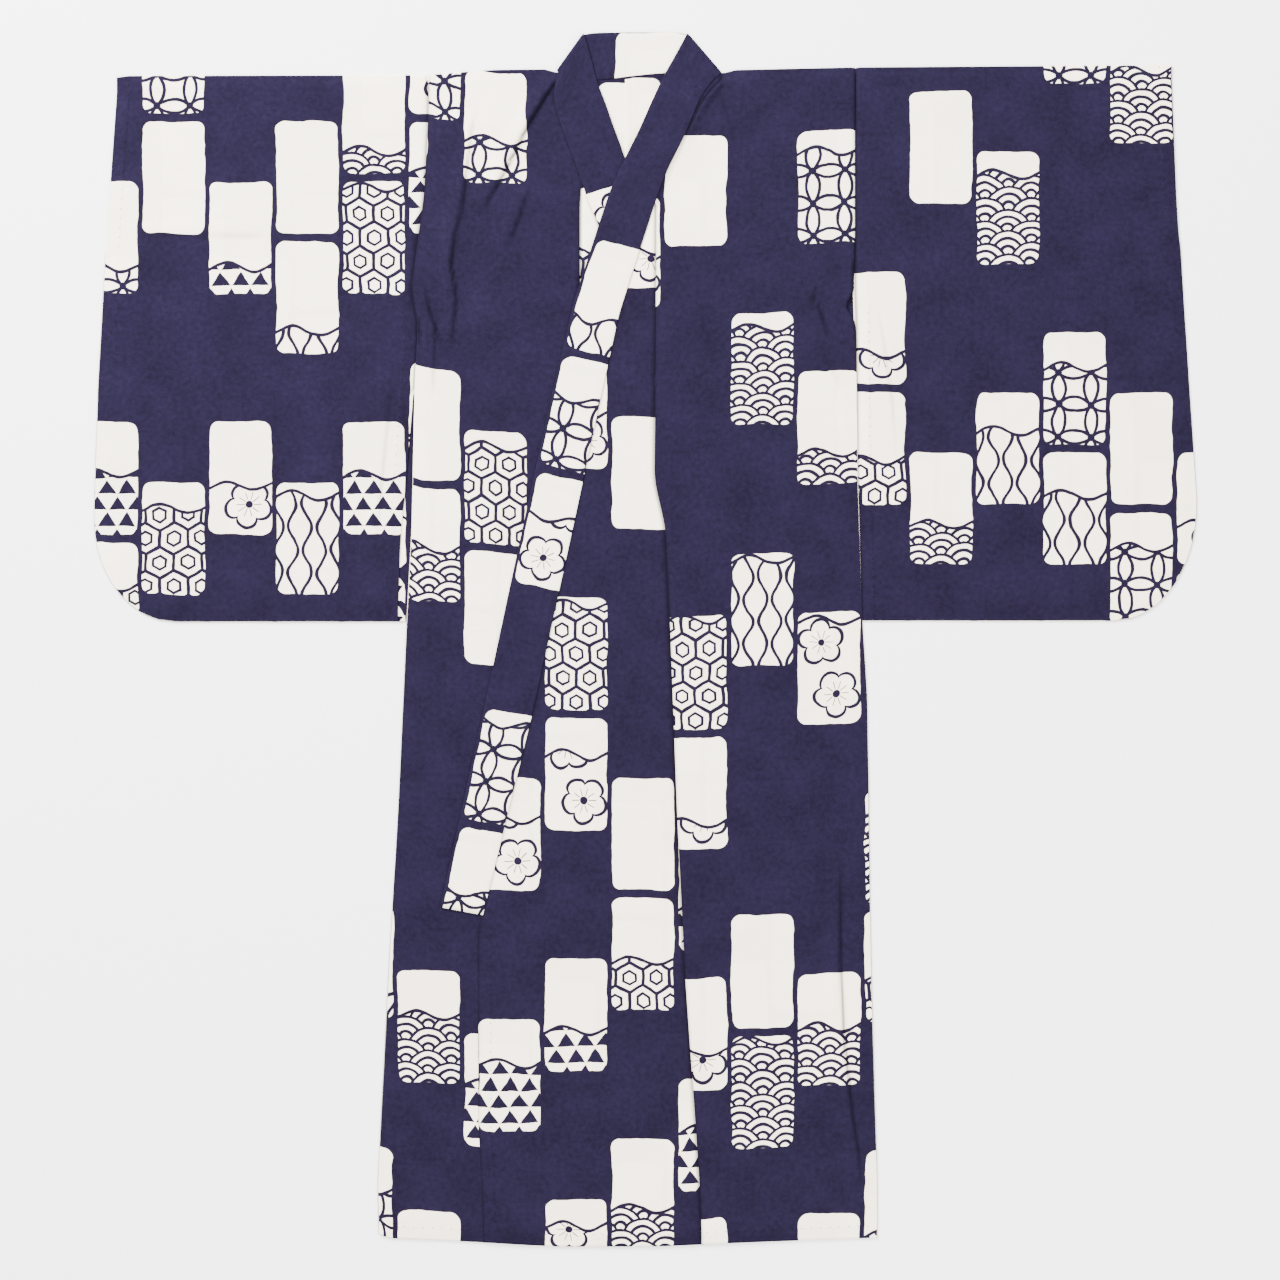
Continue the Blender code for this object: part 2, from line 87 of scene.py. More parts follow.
def make_light(name, place, size, power):
    """A square lamp that faces the middle of the garment."""
    lamp = bpy.data.lights.new(name, "AREA")
    lamp.size = size
    lamp.energy = power
    light = bpy.data.objects.new(name, lamp)
    light.location = place
    tilt = math.acos(place[2] / math.hypot(*place))
    light.rotation_euler = (tilt, 0.0, math.atan2(place[1], place[0]) + math.pi / 2)
    bpy.context.scene.collection.objects.link(light)


make_table()
make_camera()
make_light("window", place=(-1.8, 2.76, 1.8), size=1.7, power=740.0)
make_light("fill", place=(1.6, -2.2, 2.4), size=2.5, power=220.0)
world = bpy.data.worlds.new("studio")
world.use_nodes = True
world.node_tree.nodes["Background"].inputs["Color"].default_value = (1.0, 1.0, 1.0, 1.0)
world.node_tree.nodes["Background"].inputs["Strength"].default_value = ROOM_LIGHT
bpy.context.scene.world = world

# Right half of the body. One length of plain-woven cotton runs from the front hem over the
# shoulder to the back hem. It is turned over a finger's breadth at the hems, and sewn to the
# okumi, the collar and the sleeve with running stitches that are pulled in from inside.
CLOTH = 0.0005
COLUMN = 0.0027
ROW = 0.0050
CENTRE_COLUMN = 0.0030
RIGHT_FRONT_TIP = 0.4785
RIGHT_NECK_CORNER = (-0.0948, 0.5975)
BACK_CENTRE = ((-0.6360, -0.0185), (0.6020, -0.0165))
SIDE_SEAM_TOP = 0.240
ARMHOLE_END = 0.352

# Heights of the cloth's outer surface, and what a layer or a seam adds to them or takes away.
FIRST_TOP = 0.0029
PRESSED_TOP = 0.0018
EDGE_TOP = 0.0013
ON_TOP = 0.00056
SEAM_SINK = 0.0006
COLLAR_LAP_HEIGHT = 0.00105
SWELL = 0.00030
FRONT_LAYER = (0.00145, 0.02)
BOTH_LAYERS = (-0.001, 0.02)

# How far from a hem, side, fold or seam the height changes, and how far a seam laps.
HEM_REACH = 0.022
SIDE_REACH = 0.016
FOLD_REACH = 0.012
SEAM_REACH = 0.005
END_BEND = 0.060
SEAM_LAP = 0.0026
NECK_LAP = 0.0060
CENTRE_LAP = 0.0050
NECK_REACH = 0.030
BACK_HEM_SHORT = 0.0015
ARMHOLE_PULL = 0.010

# How dark the painted shade is along the side seam and the inner seam, where their shadow falls,
# and how wide.
SIDE_PAINTED_SHADE = 0.55
SEAM_PAINTED_SHADE = 0.45
PAINTED_SHADE_WIDTH = 0.0016

# The collar behind the neck and down the right front. Each row is the place of the seam, the
# place of the free edge and the height of the underside.
NECK_COLLAR = np.array((
    (0.0793, 0.5975, 0.0434, 0.6392, 0.0001),
    (0.0480, 0.5985, 0.0330, 0.6415, 0.0),
    (0.0153, 0.5986, 0.0120, 0.6415, 0.0),
    (-0.0180, 0.5950, -0.0180, 0.6415, 0.0),
    (-0.0520, 0.5903, -0.0480, 0.6415, 0.0),
    (-0.0740, 0.5930, -0.0590, 0.6405, 0.0),
    (-0.0925, 0.6000, -0.0645, 0.6392, 0.0001),
))
RIGHT_COLLAR = np.array((
    (-0.0925, 0.6000, -0.0645, 0.6392, 0.0023),
    (-0.0955, 0.5850, -0.0565, 0.6119, 0.0021),
    (-0.0977, 0.5729, -0.0512, 0.5887, 0.0018),
    (-0.0913, 0.5491, -0.0428, 0.5687, 0.0017),
    (-0.0825, 0.5249, -0.0338, 0.5423, 0.0017),
    (-0.0723, 0.4990, -0.0243, 0.5169, 0.0017),
    (-0.0618, 0.4662, -0.0143, 0.4842, 0.0017),
    (-0.0491, 0.4367, -0.0005, 0.4525, 0.0017),
    (-0.0100, 0.3004, 0.0396, 0.3152, 0.0017),
    (0.0639, -0.0058, 0.1146, 0.0058, 0.0017),
    (0.1241, -0.2909, 0.1737, -0.2793, 0.0017),
))


def skin_of(node, low, high):
    """Triangles of a CAD node that lie between two heights, as an array."""
    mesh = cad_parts[node].data
    mesh.calc_loop_triangles()
    points = np.empty(len(mesh.vertices) * 3, np.float32)
    corners = np.empty(len(mesh.loop_triangles) * 3, np.int32)
    mesh.vertices.foreach_get("co", points)
    mesh.loop_triangles.foreach_get("vertices", corners)
    triangles = points.reshape(-1, 3).astype(float)[corners.reshape(-1, 3)]
    height = triangles[:, :, 2]
    return triangles[(height.min(1) >= low) & (height.max(1) <= high)]


def extent(skin, places, along, across):
    """Lowest and highest crossing of the skin's edges with a line at each place."""
    start = skin.reshape(-1, 3)
    end = skin[:, [1, 2, 0]].reshape(-1, 3)
    run = end[:, along] - start[:, along]
    run = np.where(np.abs(run) < 1e-9, 1e-9, run)
    share = (places[:, None] - start[None, :, along]) / run[None, :]
    crossing = start[None, :, across] + share * (end - start)[None, :, across]
    met = (share >= 0.0) & (share <= 1.0)
    return np.where(met, crossing, np.inf).min(1), np.where(met, crossing, -np.inf).max(1)


def soften(values, reach=3):
    """Running mean over a number of neighbours, with the ends held."""
    padded = np.concatenate([np.full(reach, values[0]), values, np.full(reach, values[-1])])
    return np.convolve(padded, np.ones(2 * reach + 1) / (2 * reach + 1), "valid")


def side_lines(skin, y, side, bottom_trim, top_trim):
    """x of a panel's outer and inner side at each height y, from softened slices."""
    slices = np.arange(skin[:, :, 1].min() + bottom_trim, skin[:, :, 1].max() - top_trim, 0.004)
    lines = [np.interp(y, slices, soften(found)) for found in extent(skin, slices, 1, 0)]
    return lines if side < 0 else lines[::-1]


def end_line(skin, x, upper):
    """y of a panel's bottom or top edge at each x, from slices that meet that edge."""
    limit = skin[:, :, 1].max() if upper else skin[:, :, 1].min()
    slices = np.arange(skin[:, :, 0].min() + 0.001, skin[:, :, 0].max() - 0.001, 0.003)
    found = extent(skin, slices, 0, 1)[int(upper)]
    near = np.abs(found - limit) < 0.018
    return np.interp(x, slices[near], soften(found[near]))


def ease(value):
    """Smooth step: 0 below 0, 1 above 1, and level at both ends."""
    held = np.clip(value, 0.0, 1.0)
    return held * held * (3.0 - 2.0 * held)


def rise(distance, reach):
    """0 just outside a free edge, and 1 from a reach inside it: a smooth step."""
    return ease((distance + 0.001) / reach)


def beside(distance, reach):
    """1 on a line, and 0 from a reach away: a smooth step taken from 1."""
    return 1.0 - ease(distance / reach)


def bell(distance, width):
    """1 on a line, and soon 0 on both sides: e to the minus square of distance over width."""
    return np.exp(-((distance / width) ** 2))


def shares(length, step):
    """Even shares of a length that crowd towards both ends: u - sin(2 pi u) / 4 pi."""
    even = np.linspace(0.0, 1.0, max(4, math.ceil(length / step)) + 1)
    return even - 0.5 * np.sin(2 * np.pi * even) / (2 * np.pi)


def between(side, outer, inner, across):
    """Columns at shares of the way from the left line to the right: left + width * share."""
    left, right = (outer, inner) if side < 0 else (inner, outer)
    return left[:, None] + (right - left)[:, None] * across[None, :]


def near_end(y, nominal):
    """1 at the nominal height of an end, falling evenly to 0 at the end of its bend."""
    return np.clip(1.0 - np.abs(y - nominal) / END_BEND, 0.0, 1.0)


def bend_to(y, edge, nominal):
    """Heights y moved so that the row at the nominal height follows an edge line."""
    return y + (edge - nominal) * near_end(y, nominal)


def swells(x, y):
    """Low waves of cloth that has been ironed and laid down: crossed sines, about 1."""
    wave = np.sin(41.0 * x + 17.0 * y + 1.3 * np.sin(23.0 * y))
    wave = wave + np.sin(63.0 * y - 29.0 * x + 1.1 * np.sin(37.0 * x + 2.0))
    return wave + 0.6 * np.sin(97.0 * x + 71.0 * y + 1.7)


def laid(edge_z, level_z, free, x, y):
    """Height of laid cloth: from its edge's to its level one by how free it is, plus swells."""
    return edge_z + (level_z - edge_z) * free + swells(x, y) * SWELL * (0.3 + 0.7 * free)


def pressed_fold(z, below):
    """Height that closes to the pressed fold's as the distance below the fold runs out."""
    return PRESSED_TOP + (z - PRESSED_TOP) * ease(below / FOLD_REACH)


def creased(x, y, creases):
    """Creases of one panel together: sums of their heights, and of the painted shade along them.

    Each is in millimetres, and follows a path of places along, places across and heights, down
    It slopes over one width on its gentle side, which is to the left or towards the hem where it
    is negative, and drops over the other width on its far side. The painted shade is a bell
    across the drop: a dark line where the crease's shadow falls.
    """
    heights = 0.0
    marks = 0.0
    for way, gentle, steep, path in creases:
        along, across = (y, x) if way == "down" else (x, y)
        table = np.array(sorted(path)) / 1000.0
        side = math.copysign(1.0, gentle)
        beyond = (across - np.interp(along, table[:, 0], table[:, 1])) * side
        height = np.interp(along, table[:, 0], table[:, 2], left=0.0, right=0.0)
        slope = ease(1.0 - beyond / (abs(gentle) / 1000.0))
        drop = ease(1.0 + beyond / (steep / 1000.0))
        heights = heights + height * np.where(beyond > 0.0, slope, drop)
        marks = marks + bell(beyond + steep / 1000.0, 0.0018) * height / 0.0030
    return heights, marks


def along_seam(strip, column, y):
    """One column of a collar stretch at heights y along its seam."""
    table = strip[np.argsort(strip[:, 1])]
    return np.interp(y, table[:, 1], table[:, column])


def over_fold(front, back, turn_marks, low):
    """Front, half a circle over the fold, and back as one grid, with its length along the cloth.

    Front and back are (x, y, z, painted shade, edge mark) grids from the hem up. The circle's
    radius is half the height between them, and the lengths are sums of the steps between rows.
    """
    drop = (front[2][-1] - back[2][-1]) / 2
    rows = [front]
    for turn in np.linspace(0.0, np.pi, 7)[1:-1]:
        share = turn / np.pi
        x = front[0][-1] * (1 - share) + back[0][-1] * share
        y = front[1][-1] + drop * np.sin(turn)
        z = back[2][-1] + drop + drop * np.cos(turn)
        rows.append((x[None], y[None], z[None], *turn_marks))
    rows.append(tuple(part[::-1] for part in back))
    x, y, z, painted_shade, mark = (np.concatenate([row[axis] for row in rows]) for axis in range(5))
    steps = np.hypot(np.diff(y, axis=0), np.diff(z, axis=0))
    v = np.concatenate([np.zeros((1, y.shape[1])), np.cumsum(steps, 0)]) + low
    return x, y, z, x, v, painted_shade, mark


# Point marks: the painted shade of creases and seams, and the distances from the turned hem and
# side.
MARKS = ("painted_shade", "hem", "side")


class Cloth:
    """Open surface of one sewn piece, in grids of points that share a flat cutting plan."""

    def __init__(self):
        self.points = []
        self.plan = []
        self.marks = []
        self.faces = []
        self.count = 0

    def add_points(self, x, y, z, u, v, painted_shade=0.0, hem=1.0, side=1.0):
        """Add a grid of points, its place in the plan, and its marks, and give their numbers.

        The marks are the painted shade of creases and seams, and how far off its turned hem and
        side are.
        """
        self.points.append(np.stack([x, y, z], -1).reshape(-1, 3))
        self.plan.append(np.stack([np.broadcast_to(u, x.shape), v], -1).reshape(-1, 2))
        marks = [np.broadcast_to(mark, x.shape) for mark in (painted_shade, hem, side)]
        self.marks.append(np.stack(marks, -1).reshape(-1, 3))
        numbers = self.count + np.arange(x.size).reshape(x.shape)
        self.count += x.size
        return numbers

    def add_faces(self, numbers):
        """Four-sided faces of a grid of numbers, facing rows' direction times columns'."""
        corners = [numbers[:-1, :-1], numbers[:-1, 1:], numbers[1:, 1:], numbers[1:, :-1]]
        self.faces.append(np.stack(corners, -1).reshape(-1, 4))

    def roll(self, upper, lower):
        """Join two edges, one over the other, by half a circle round the outline between them."""
        points = np.concatenate(self.points)
        plan = np.concatenate(self.plan)
        walk = np.gradient(points[upper][:, :2], axis=0)
        walk = walk / np.linalg.norm(walk, axis=1)[:, None]
        outward = np.stack([walk[:, 1], -walk[:, 0]], 1)
        middle = (points[upper] + points[lower]) / 2
        radius = (points[upper][:, 2] - points[lower][:, 2]) / 2
        rows = [upper]
        for turn in np.linspace(0.0, np.pi, 6)[1:-1]:
            flat = middle[:, :2] + outward * (radius * np.sin(turn))[:, None]
            z = middle[:, 2] + radius * np.cos(turn)
            share = turn / np.pi
            uv = plan[upper] * (1 - share) + plan[lower] * share
            rows.append(self.add_points(flat[:, 0], flat[:, 1], z, uv[:, 0], uv[:, 1]))
        rows.append(lower)
        self.add_faces(np.array(rows)[:, ::-1])

    def finish(self, name, material):
        """Make the piece's object, with its cutting plan as a UV map and a wall inwards."""
        points = np.concatenate(self.points)
        faces = np.concatenate(self.faces)
        mesh = bpy.data.meshes.new(name)
        mesh.from_pydata(points.tolist(), [], faces.tolist())
        plan = np.concatenate(self.plan)
        corners = np.empty(len(mesh.loops), np.int32)
        mesh.loops.foreach_get("vertex_index", corners)
        mesh.uv_layers.new(name="cutting_plan").data.foreach_set("uv", plan[corners].ravel())
        marks = np.concatenate(self.marks).astype(np.float32)
        for number, label in enumerate(MARKS):
            mark = mesh.attributes.new(label, "FLOAT", "POINT")
            mark.data.foreach_set("value", np.ascontiguousarray(marks[:, number]))
        mesh.shade_smooth()
        mesh.materials.append(material)
        piece = bpy.data.objects.new(name, mesh)
        bpy.context.scene.collection.objects.link(piece)
        wall = piece.modifiers.new("cloth", "SOLIDIFY")
        wall.thickness = CLOTH
        wall.offset = -1.0
        return piece


def body_half(cloth, node, side, tip, corner, strip, levels, folds, back_folds):
    """Lay out one half of the body: front up to the shoulder, over the fold, and down the back.

    The front's height is a level that sinks at its free edges and seams, plus folds and waves.
    Above the tip its inner edge lies inside the collar, and below it under the okumi.
    """
    front_skin = skin_of(node, *FRONT_LAYER)
    whole_skin = skin_of(node, *BOTH_LAYERS)
    low = front_skin[:, :, 1].min()
    high = whole_skin[:, :, 1].max()
    level = low + (high - low) * shares(high - low, ROW)
    outer, seam = side_lines(front_skin, level, side, bottom_trim=0.012, top_trim=0.012)
    pulled = outer - ARMHOLE_PULL * bell(level - ARMHOLE_END, 0.012) * (side > 0)
    by_neck = ease((level - high + END_BEND) / NECK_REACH)
    seam = seam + (along_seam(strip, 0, level) - seam) * by_neck
    inner = seam - side * (SEAM_LAP + NECK_LAP * by_neck) * (level > tip)
    across = shares(abs(outer - inner).max(), COLUMN)
    x = between(side, pulled, inner, across)
    nominal = np.repeat(level[:, None], len(across), 1)
    hem = end_line(front_skin, x, False)
    top = end_line(whole_skin, x, True) - PRESSED_TOP / 2
    y = bend_to(bend_to(nominal, hem, low), top, high)

    from_side = (pulled[:, None] - x) * side
    from_seam = (x - seam[:, None]) * side
    sewn = ease((nominal - ARMHOLE_END + 0.004) / 0.008)
    edge_z, level_z = levels(x, y)
    edge_z = edge_z + ON_TOP * ease((nominal - 0.020) / 0.020)
    free = rise(y - hem, HEM_REACH) * np.maximum(sewn, rise(from_side, SIDE_REACH))
    fold, painted_shade = creased(x, y, folds)
    z = pressed_fold(laid(edge_z, level_z, free, x, y) + fold, top - y)
    z = z - SEAM_SINK * sewn * beside(from_side, SEAM_REACH)
    at_seam = beside(from_seam, SEAM_REACH)
    lap = along_seam(strip, 4, y) + COLLAR_LAP_HEIGHT
    z = np.where(y > tip, z + (lap - z) * at_seam, z - SEAM_SINK * at_seam)
    # Painted shade: dark lines along the side seam and the inner seam, where the seams' shadow
    # falls.
    painted_shade = painted_shade + SIDE_PAINTED_SHADE * sewn * bell(from_side, PAINTED_SHADE_WIDTH)
    painted_shade = painted_shade + SEAM_PAINTED_SHADE * bell(from_seam, PAINTED_SHADE_WIDTH)
    front = (x, y, z, painted_shade, y - hem)

    inside, outside = (-1, 0) if side < 0 else (0, -1)
    line = np.full_like(level, x[-1, inside])
    back_x = between(side, outer, line, across)
    back_hem = end_line(front_skin, back_x, False) + BACK_HEM_SHORT
    back_y = bend_to(bend_to(nominal, back_hem, low), top[-1:], high)
    back = (back_x, back_y, *creased(back_x, back_y, back_folds), back_y - back_hem)
    turn_marks = (painted_shade[-1:] * 0.5, np.ones((1, len(across))))
    grid = over_fold(front, back, turn_marks, low)
    numbers = cloth.add_points(*grid)
    cloth.add_faces(numbers)

    centre_patch(cloth, side, corner, level[::-1], high, line[0], [
        part[-len(level):, inside] for part in (numbers, grid[1], grid[4])
    ])
    joined = level < SIDE_SEAM_TOP
    upper = numbers[:len(level), outside][joined]
    lower = numbers[-len(level):, outside][::-1][joined]
    cloth.roll(upper[::side], lower[::side])


def centre_patch(cloth, side, corner, level, high, line, edge):
    """Lay out the back from its edge line beside the neck to the centre seam, from the neck down.

    Its top follows the collar's seam and is lifted to it, and the left half laps over the right.
    The edge is the line's point numbers, heights and places in the plan.
    """
    numbers, line_y, line_v = edge
    ends, places = np.array(BACK_CENTRE).T
    centre = np.interp(level, ends, places) - CENTRE_LAP * (side > 0)
    across = shares(abs(line - centre[0]), CENTRE_COLUMN)
    x = centre[:, None] + (line - centre)[:, None] * across[None, :]
    neck = np.array([corner, *NECK_COLLAR[1:-1, :2].tolist()])
    neck = neck[np.argsort(neck[:, 0])]
    top = np.interp(x, neck[:, 0], neck[:, 1])
    y = line_y[:, None] + (top + SEAM_LAP - line_y[0]) * near_end(level, high)[:, None]
    lift = SEAM_SINK * ease(1.0 - (top - y) / SEAM_REACH) * ease((corner[0] - x) * side / 0.008)
    if side > 0:
        lift = np.maximum(lift, ON_TOP * ease(1.0 - (x - centre[:, None] - CENTRE_LAP) / 0.002))
    v = line_v[:, None] - (y - line_y[:, None])
    added = cloth.add_points(*(part[:, :-1][:, ::side] for part in (x, y, lift, x, v)))
    cloth.add_faces(np.concatenate([added, numbers[:, None]][::side], 1))


class Recipe:
    """Shader nodes of one group or material: each step takes its inputs and gives its result."""

    def __init__(self, tree):
        self.tree = tree

    def step(self, kind, inputs, result=0, **settings):
        """Add a node, set it, and link or fill its inputs, which are named or numbered."""
        node = self.tree.nodes.new(kind)
        for setting, value in settings.items():
            setattr(node, setting, value)
        for key, value in inputs.items():
            if isinstance(value, bpy.types.NodeSocket):
                self.tree.links.new(value, node.inputs[key])
            else:
                node.inputs[key].default_value = value
        return node.outputs[result]

    def maths(self, operation, *values):
        """One sum on numbers."""
        return self.step("ShaderNodeMath", dict(enumerate(values)), operation=operation)

    def vectors(self, operation, first, second):
        """One sum on vectors, or on a vector and the number that it is scaled by."""
        inputs = {0: first, "Scale" if operation == "SCALE" else 1: second}
        return self.step("ShaderNodeVectorMath", inputs, operation=operation)

    def parts(self, vector):
        """The three numbers of a vector."""
        return self.step("ShaderNodeSeparateXYZ", {0: vector}).node.outputs

    def gap(self, first, second):
        """Distance between two numbers."""
        return self.maths("ABSOLUTE", self.maths("SUBTRACT", first, second))

    def mirrored(self, value, pitch):
        """Distance from the middle of the repeat that a number is in."""
        return self.gap(self.maths("FLOORED_MODULO", value, pitch), pitch / 2)

    def length(self, x, y):
        """Length of a flat vector: the root of x times x plus y times y."""
        squares = self.maths("MULTIPLY_ADD", x, x, self.maths("MULTIPLY", y, y))
        return self.maths("SQRT", squares)

    def below(self, value, limit, soft):
        """1 where a value is under a limit and 0 over it, blurred by a soft width."""
        return self.step("ShaderNodeMapRange", {
            "Value": value, "From Min": limit - soft, "From Max": limit + soft,
            "To Min": 1.0, "To Max": 0.0,
        }, interpolation_type="SMOOTHSTEP")

    def noise(self, place, scale, detail, roughness=0.5, result=0):
        """Cloudy noise, whose result 0 is a number and result 1 a colour."""
        return self.step("ShaderNodeTexNoise", {
            "Vector": place, "Scale": scale, "Detail": detail, "Roughness": roughness,
        }, result)

    def blend(self, share, first, second):
        """Colour between two colours by a share."""
        return self.step("ShaderNodeMix", {0: share, 6: first, 7: second}, 2, data_type="RGBA")

    def group(self, tree, inputs):
        """Place a shader group, and give its outputs."""
        return self.step("ShaderNodeGroup", inputs, node_tree=tree).node.outputs

    def put(self, sockets, results):
        """Link results to sockets by name."""
        for label, result in results.items():
            self.tree.links.new(result, sockets[label])


def new_group(name, inputs, outputs):
    """An empty shader group with its sockets, as its recipe, its start and its end."""
    tree = bpy.data.node_groups.new(name, "ShaderNodeTree")
    for label, kind in inputs:
        tree.interface.new_socket(label, in_out="INPUT", socket_type="NodeSocket" + kind)
    for label in outputs:
        kind = "NodeSocketColor" if label == "Color" else "NodeSocketFloat"
        tree.interface.new_socket(label, in_out="OUTPUT", socket_type=kind)
    start = tree.nodes.new("NodeGroupInput")
    end = tree.nodes.new("NodeGroupOutput")
    return Recipe(tree), start.outputs, end.inputs


# Blocks of the print, which stay white in the dye bath: their pitch, size and rounded corner in
# metres, the share of places that has one, and how far the hand that cut their edges wavered.
BLOCK_ACROSS = 0.0705
BLOCK_UP = 0.1270
BLOCK_HALF_WIDTH = 0.0325
BLOCK_HALF_HEIGHT = 0.0590
BLOCK_CORNER = 0.0090
BLOCKS_FILLED = 0.53
WAVER = 0.0075


def blocks_group():
    """Round-cornered blocks in columns, each column half a block lower than the one before.

    A point's column and row are whole parts of its place over the pitch. A block's edge is the
    rounded box: the length of what lies beyond its straight part, less the corner's radius.
    """
    recipe, start, end = new_group(
        "Cloth Blocks",
        (("Plan", "Vector"), ("Shift", "Vector"), ("Seed", "Float")),
        ("Block", "Across", "Up", "Pick", "Lot"),
    )
    maths = recipe.maths
    plan = recipe.vectors("ADD", start["Plan"], start["Shift"])
    hand = recipe.vectors("SUBTRACT", recipe.noise(plan, 26.0, 3.0, result=1), (0.5, 0.5, 0.5))
    drawn = recipe.parts(recipe.vectors("ADD", plan, recipe.vectors("SCALE", hand, WAVER)))
    column = maths("FLOOR", maths("DIVIDE", drawn[0], BLOCK_ACROSS))
    odd = maths("FLOORED_MODULO", column, 2.0)
    dropped = maths("MULTIPLY_ADD", odd, BLOCK_UP / 2, drawn[1])
    row = maths("FLOOR", maths("DIVIDE", dropped, BLOCK_UP))
    across = maths("MULTIPLY_ADD", maths("ADD", column, 0.5), -BLOCK_ACROSS, drawn[0])
    up = maths("MULTIPLY_ADD", maths("ADD", row, 0.5), -BLOCK_UP, dropped)
    cell = recipe.step("ShaderNodeCombineXYZ", {0: column, 1: row, 2: start["Seed"]})
    lot = recipe.step("ShaderNodeTexWhiteNoise", {"Vector": cell}, 0, noise_dimensions="3D")
    picks = recipe.step("ShaderNodeSeparateColor", {0: lot.node.outputs[1]}).node.outputs
    beyond_x = maths("SUBTRACT", maths("ABSOLUTE", across), BLOCK_HALF_WIDTH - BLOCK_CORNER)
    beyond_y = maths("SUBTRACT", maths("ABSOLUTE", up), BLOCK_HALF_HEIGHT - BLOCK_CORNER)
    outside = recipe.length(maths("MAXIMUM", beyond_x, 0.0), maths("MAXIMUM", beyond_y, 0.0))
    inside = maths("MINIMUM", maths("MAXIMUM", beyond_x, beyond_y), 0.0)
    edge = recipe.below(maths("ADD", outside, inside), BLOCK_CORNER, 0.0003)
    recipe.put(end, {
        "Block": maths("MULTIPLY", edge, maths("LESS_THAN", lot, BLOCKS_FILLED)),
        "Across": maths("MULTIPLY", across, 1000.0),
        "Up": maths("MULTIPLY", up, 1000.0),
        "Pick": picks[1],
        "Lot": picks[2],
    })
    return recipe.tree


# Motifs that fill some of the blocks, all of them traditional. They are drawn in millimetres
# from the block's middle. A drawn line has half this width, and its edge is blurred by this much.
LINE = 1.9
BLUR = 0.35


def line_group(name, drawn_by, *sizes):
    """A group that takes a place in millimetres and puts out the mask of drawn lines."""
    recipe, start, end = new_group(name, (("Across", "Float"), ("Up", "Float")), ("Line",))
    recipe.put(end, {"Line": drawn_by(recipe, start["Across"], start["Up"], *sizes)})
    return recipe.tree


def wave_scales(recipe, x, y, radius):
    """Overlapping fans of rings: of three rows of discs, the lowest that holds the point counts."""
    maths = recipe.maths
    row = maths("FLOOR", maths("DIVIDE", y, radius / 2))
    reach = []
    for lower in (-1.0, 0.0, 1.0):
        number = maths("ADD", row, lower)
        offset = maths("MULTIPLY", maths("FLOORED_MODULO", number, 2.0), radius)
        slid = maths("ADD", maths("SUBTRACT", x, offset), radius)
        slid = maths("SUBTRACT", maths("FLOORED_MODULO", slid, 2 * radius), radius)
        reach.append(recipe.length(slid, maths("MULTIPLY_ADD", number, -radius / 2, y)))
    second = maths("LESS_THAN", reach[1], radius)
    far = recipe.step("ShaderNodeMix", {0: second, 2: reach[2], 3: reach[1]})
    first = maths("LESS_THAN", reach[0], radius)
    chosen = recipe.step("ShaderNodeMix", {0: first, 2: far, 3: reach[0]})
    ring = maths("PINGPONG", maths("ADD", chosen, radius * 0.05), radius / 6)
    return recipe.below(ring, radius * 0.076, BLUR)


def plum_flowers(recipe, x, y, radius, spacing):
    """Two flowers: an edge that swells five times round, a dark heart, and ten fine stamens."""
    maths = recipe.maths
    height = maths("SUBTRACT", maths("ABSOLUTE", y), spacing)
    x = maths("MULTIPLY_ADD", maths("SIGN", y), radius * 0.35, x)
    reach = recipe.length(x, height)
    turn = maths("ARCTAN2", height, x)
    petal = maths("ABSOLUTE", maths("SINE", maths("MULTIPLY_ADD", turn, 2.5, 0.6)))
    edge = maths("MULTIPLY_ADD", maths("POWER", petal, 0.7), radius * 0.30, radius * 0.70)
    outline = recipe.below(recipe.gap(reach, edge), LINE, BLUR)
    heart = recipe.below(reach, radius * 0.17, BLUR)
    ray = maths("ABSOLUTE", maths("SINE", maths("MULTIPLY", turn, 5.0)))
    stamen = recipe.below(maths("MULTIPLY", ray, reach), 2.3, 0.6)
    band = recipe.below(recipe.gap(reach, radius * 0.37), radius * 0.17, 0.3)
    stamen = maths("MULTIPLY", stamen, band)
    return maths("MAXIMUM", maths("MAXIMUM", outline, heart), stamen)


def linked_rings(recipe, x, y, spacing):
    """Rings on a square net that cross in its middles: nearness to any of the corner rings."""
    maths = recipe.maths
    half = spacing / 2
    x = recipe.mirrored(x, spacing)
    y = recipe.mirrored(y, spacing)
    near = None
    for sign_x, sign_y in ((-1.0, -1.0), (1.0, -1.0), (-1.0, 1.0)):
        reach = recipe.length(maths("ADD", x, sign_x * half), maths("ADD", y, sign_y * half))
        gap = recipe.gap(reach, spacing * 0.7071)
        near = gap if near is None else maths("MINIMUM", near, gap)
    dot = recipe.below(maths("ADD", x, y), 4.5, 0.4)
    return maths("MAXIMUM", recipe.below(near, 1.8, BLUR), dot)


def tortoise_shell(recipe, x, y, width):
    """Six-sided cells with a smaller cell inside: distance from the nearer of two nets' middles."""
    maths = recipe.maths
    tall = width * 1.7320508
    places = []
    for shift in (0.0, 0.5):
        own_x = recipe.mirrored(maths("ADD", x, width * shift), width)
        own_y = recipe.mirrored(maths("ADD", y, tall * shift), tall)
        slant = maths("MULTIPLY_ADD", own_y, 0.8660254, maths("MULTIPLY", own_x, 0.5))
        places.append(maths("MAXIMUM", own_x, slant))
    reach = maths("MINIMUM", places[0], places[1])
    wall = recipe.below(recipe.gap(reach, width / 2), LINE, 0.3)
    inner = recipe.below(recipe.gap(reach, width * 0.22), 1.4, 0.3)
    return maths("MAXIMUM", wall, inner)


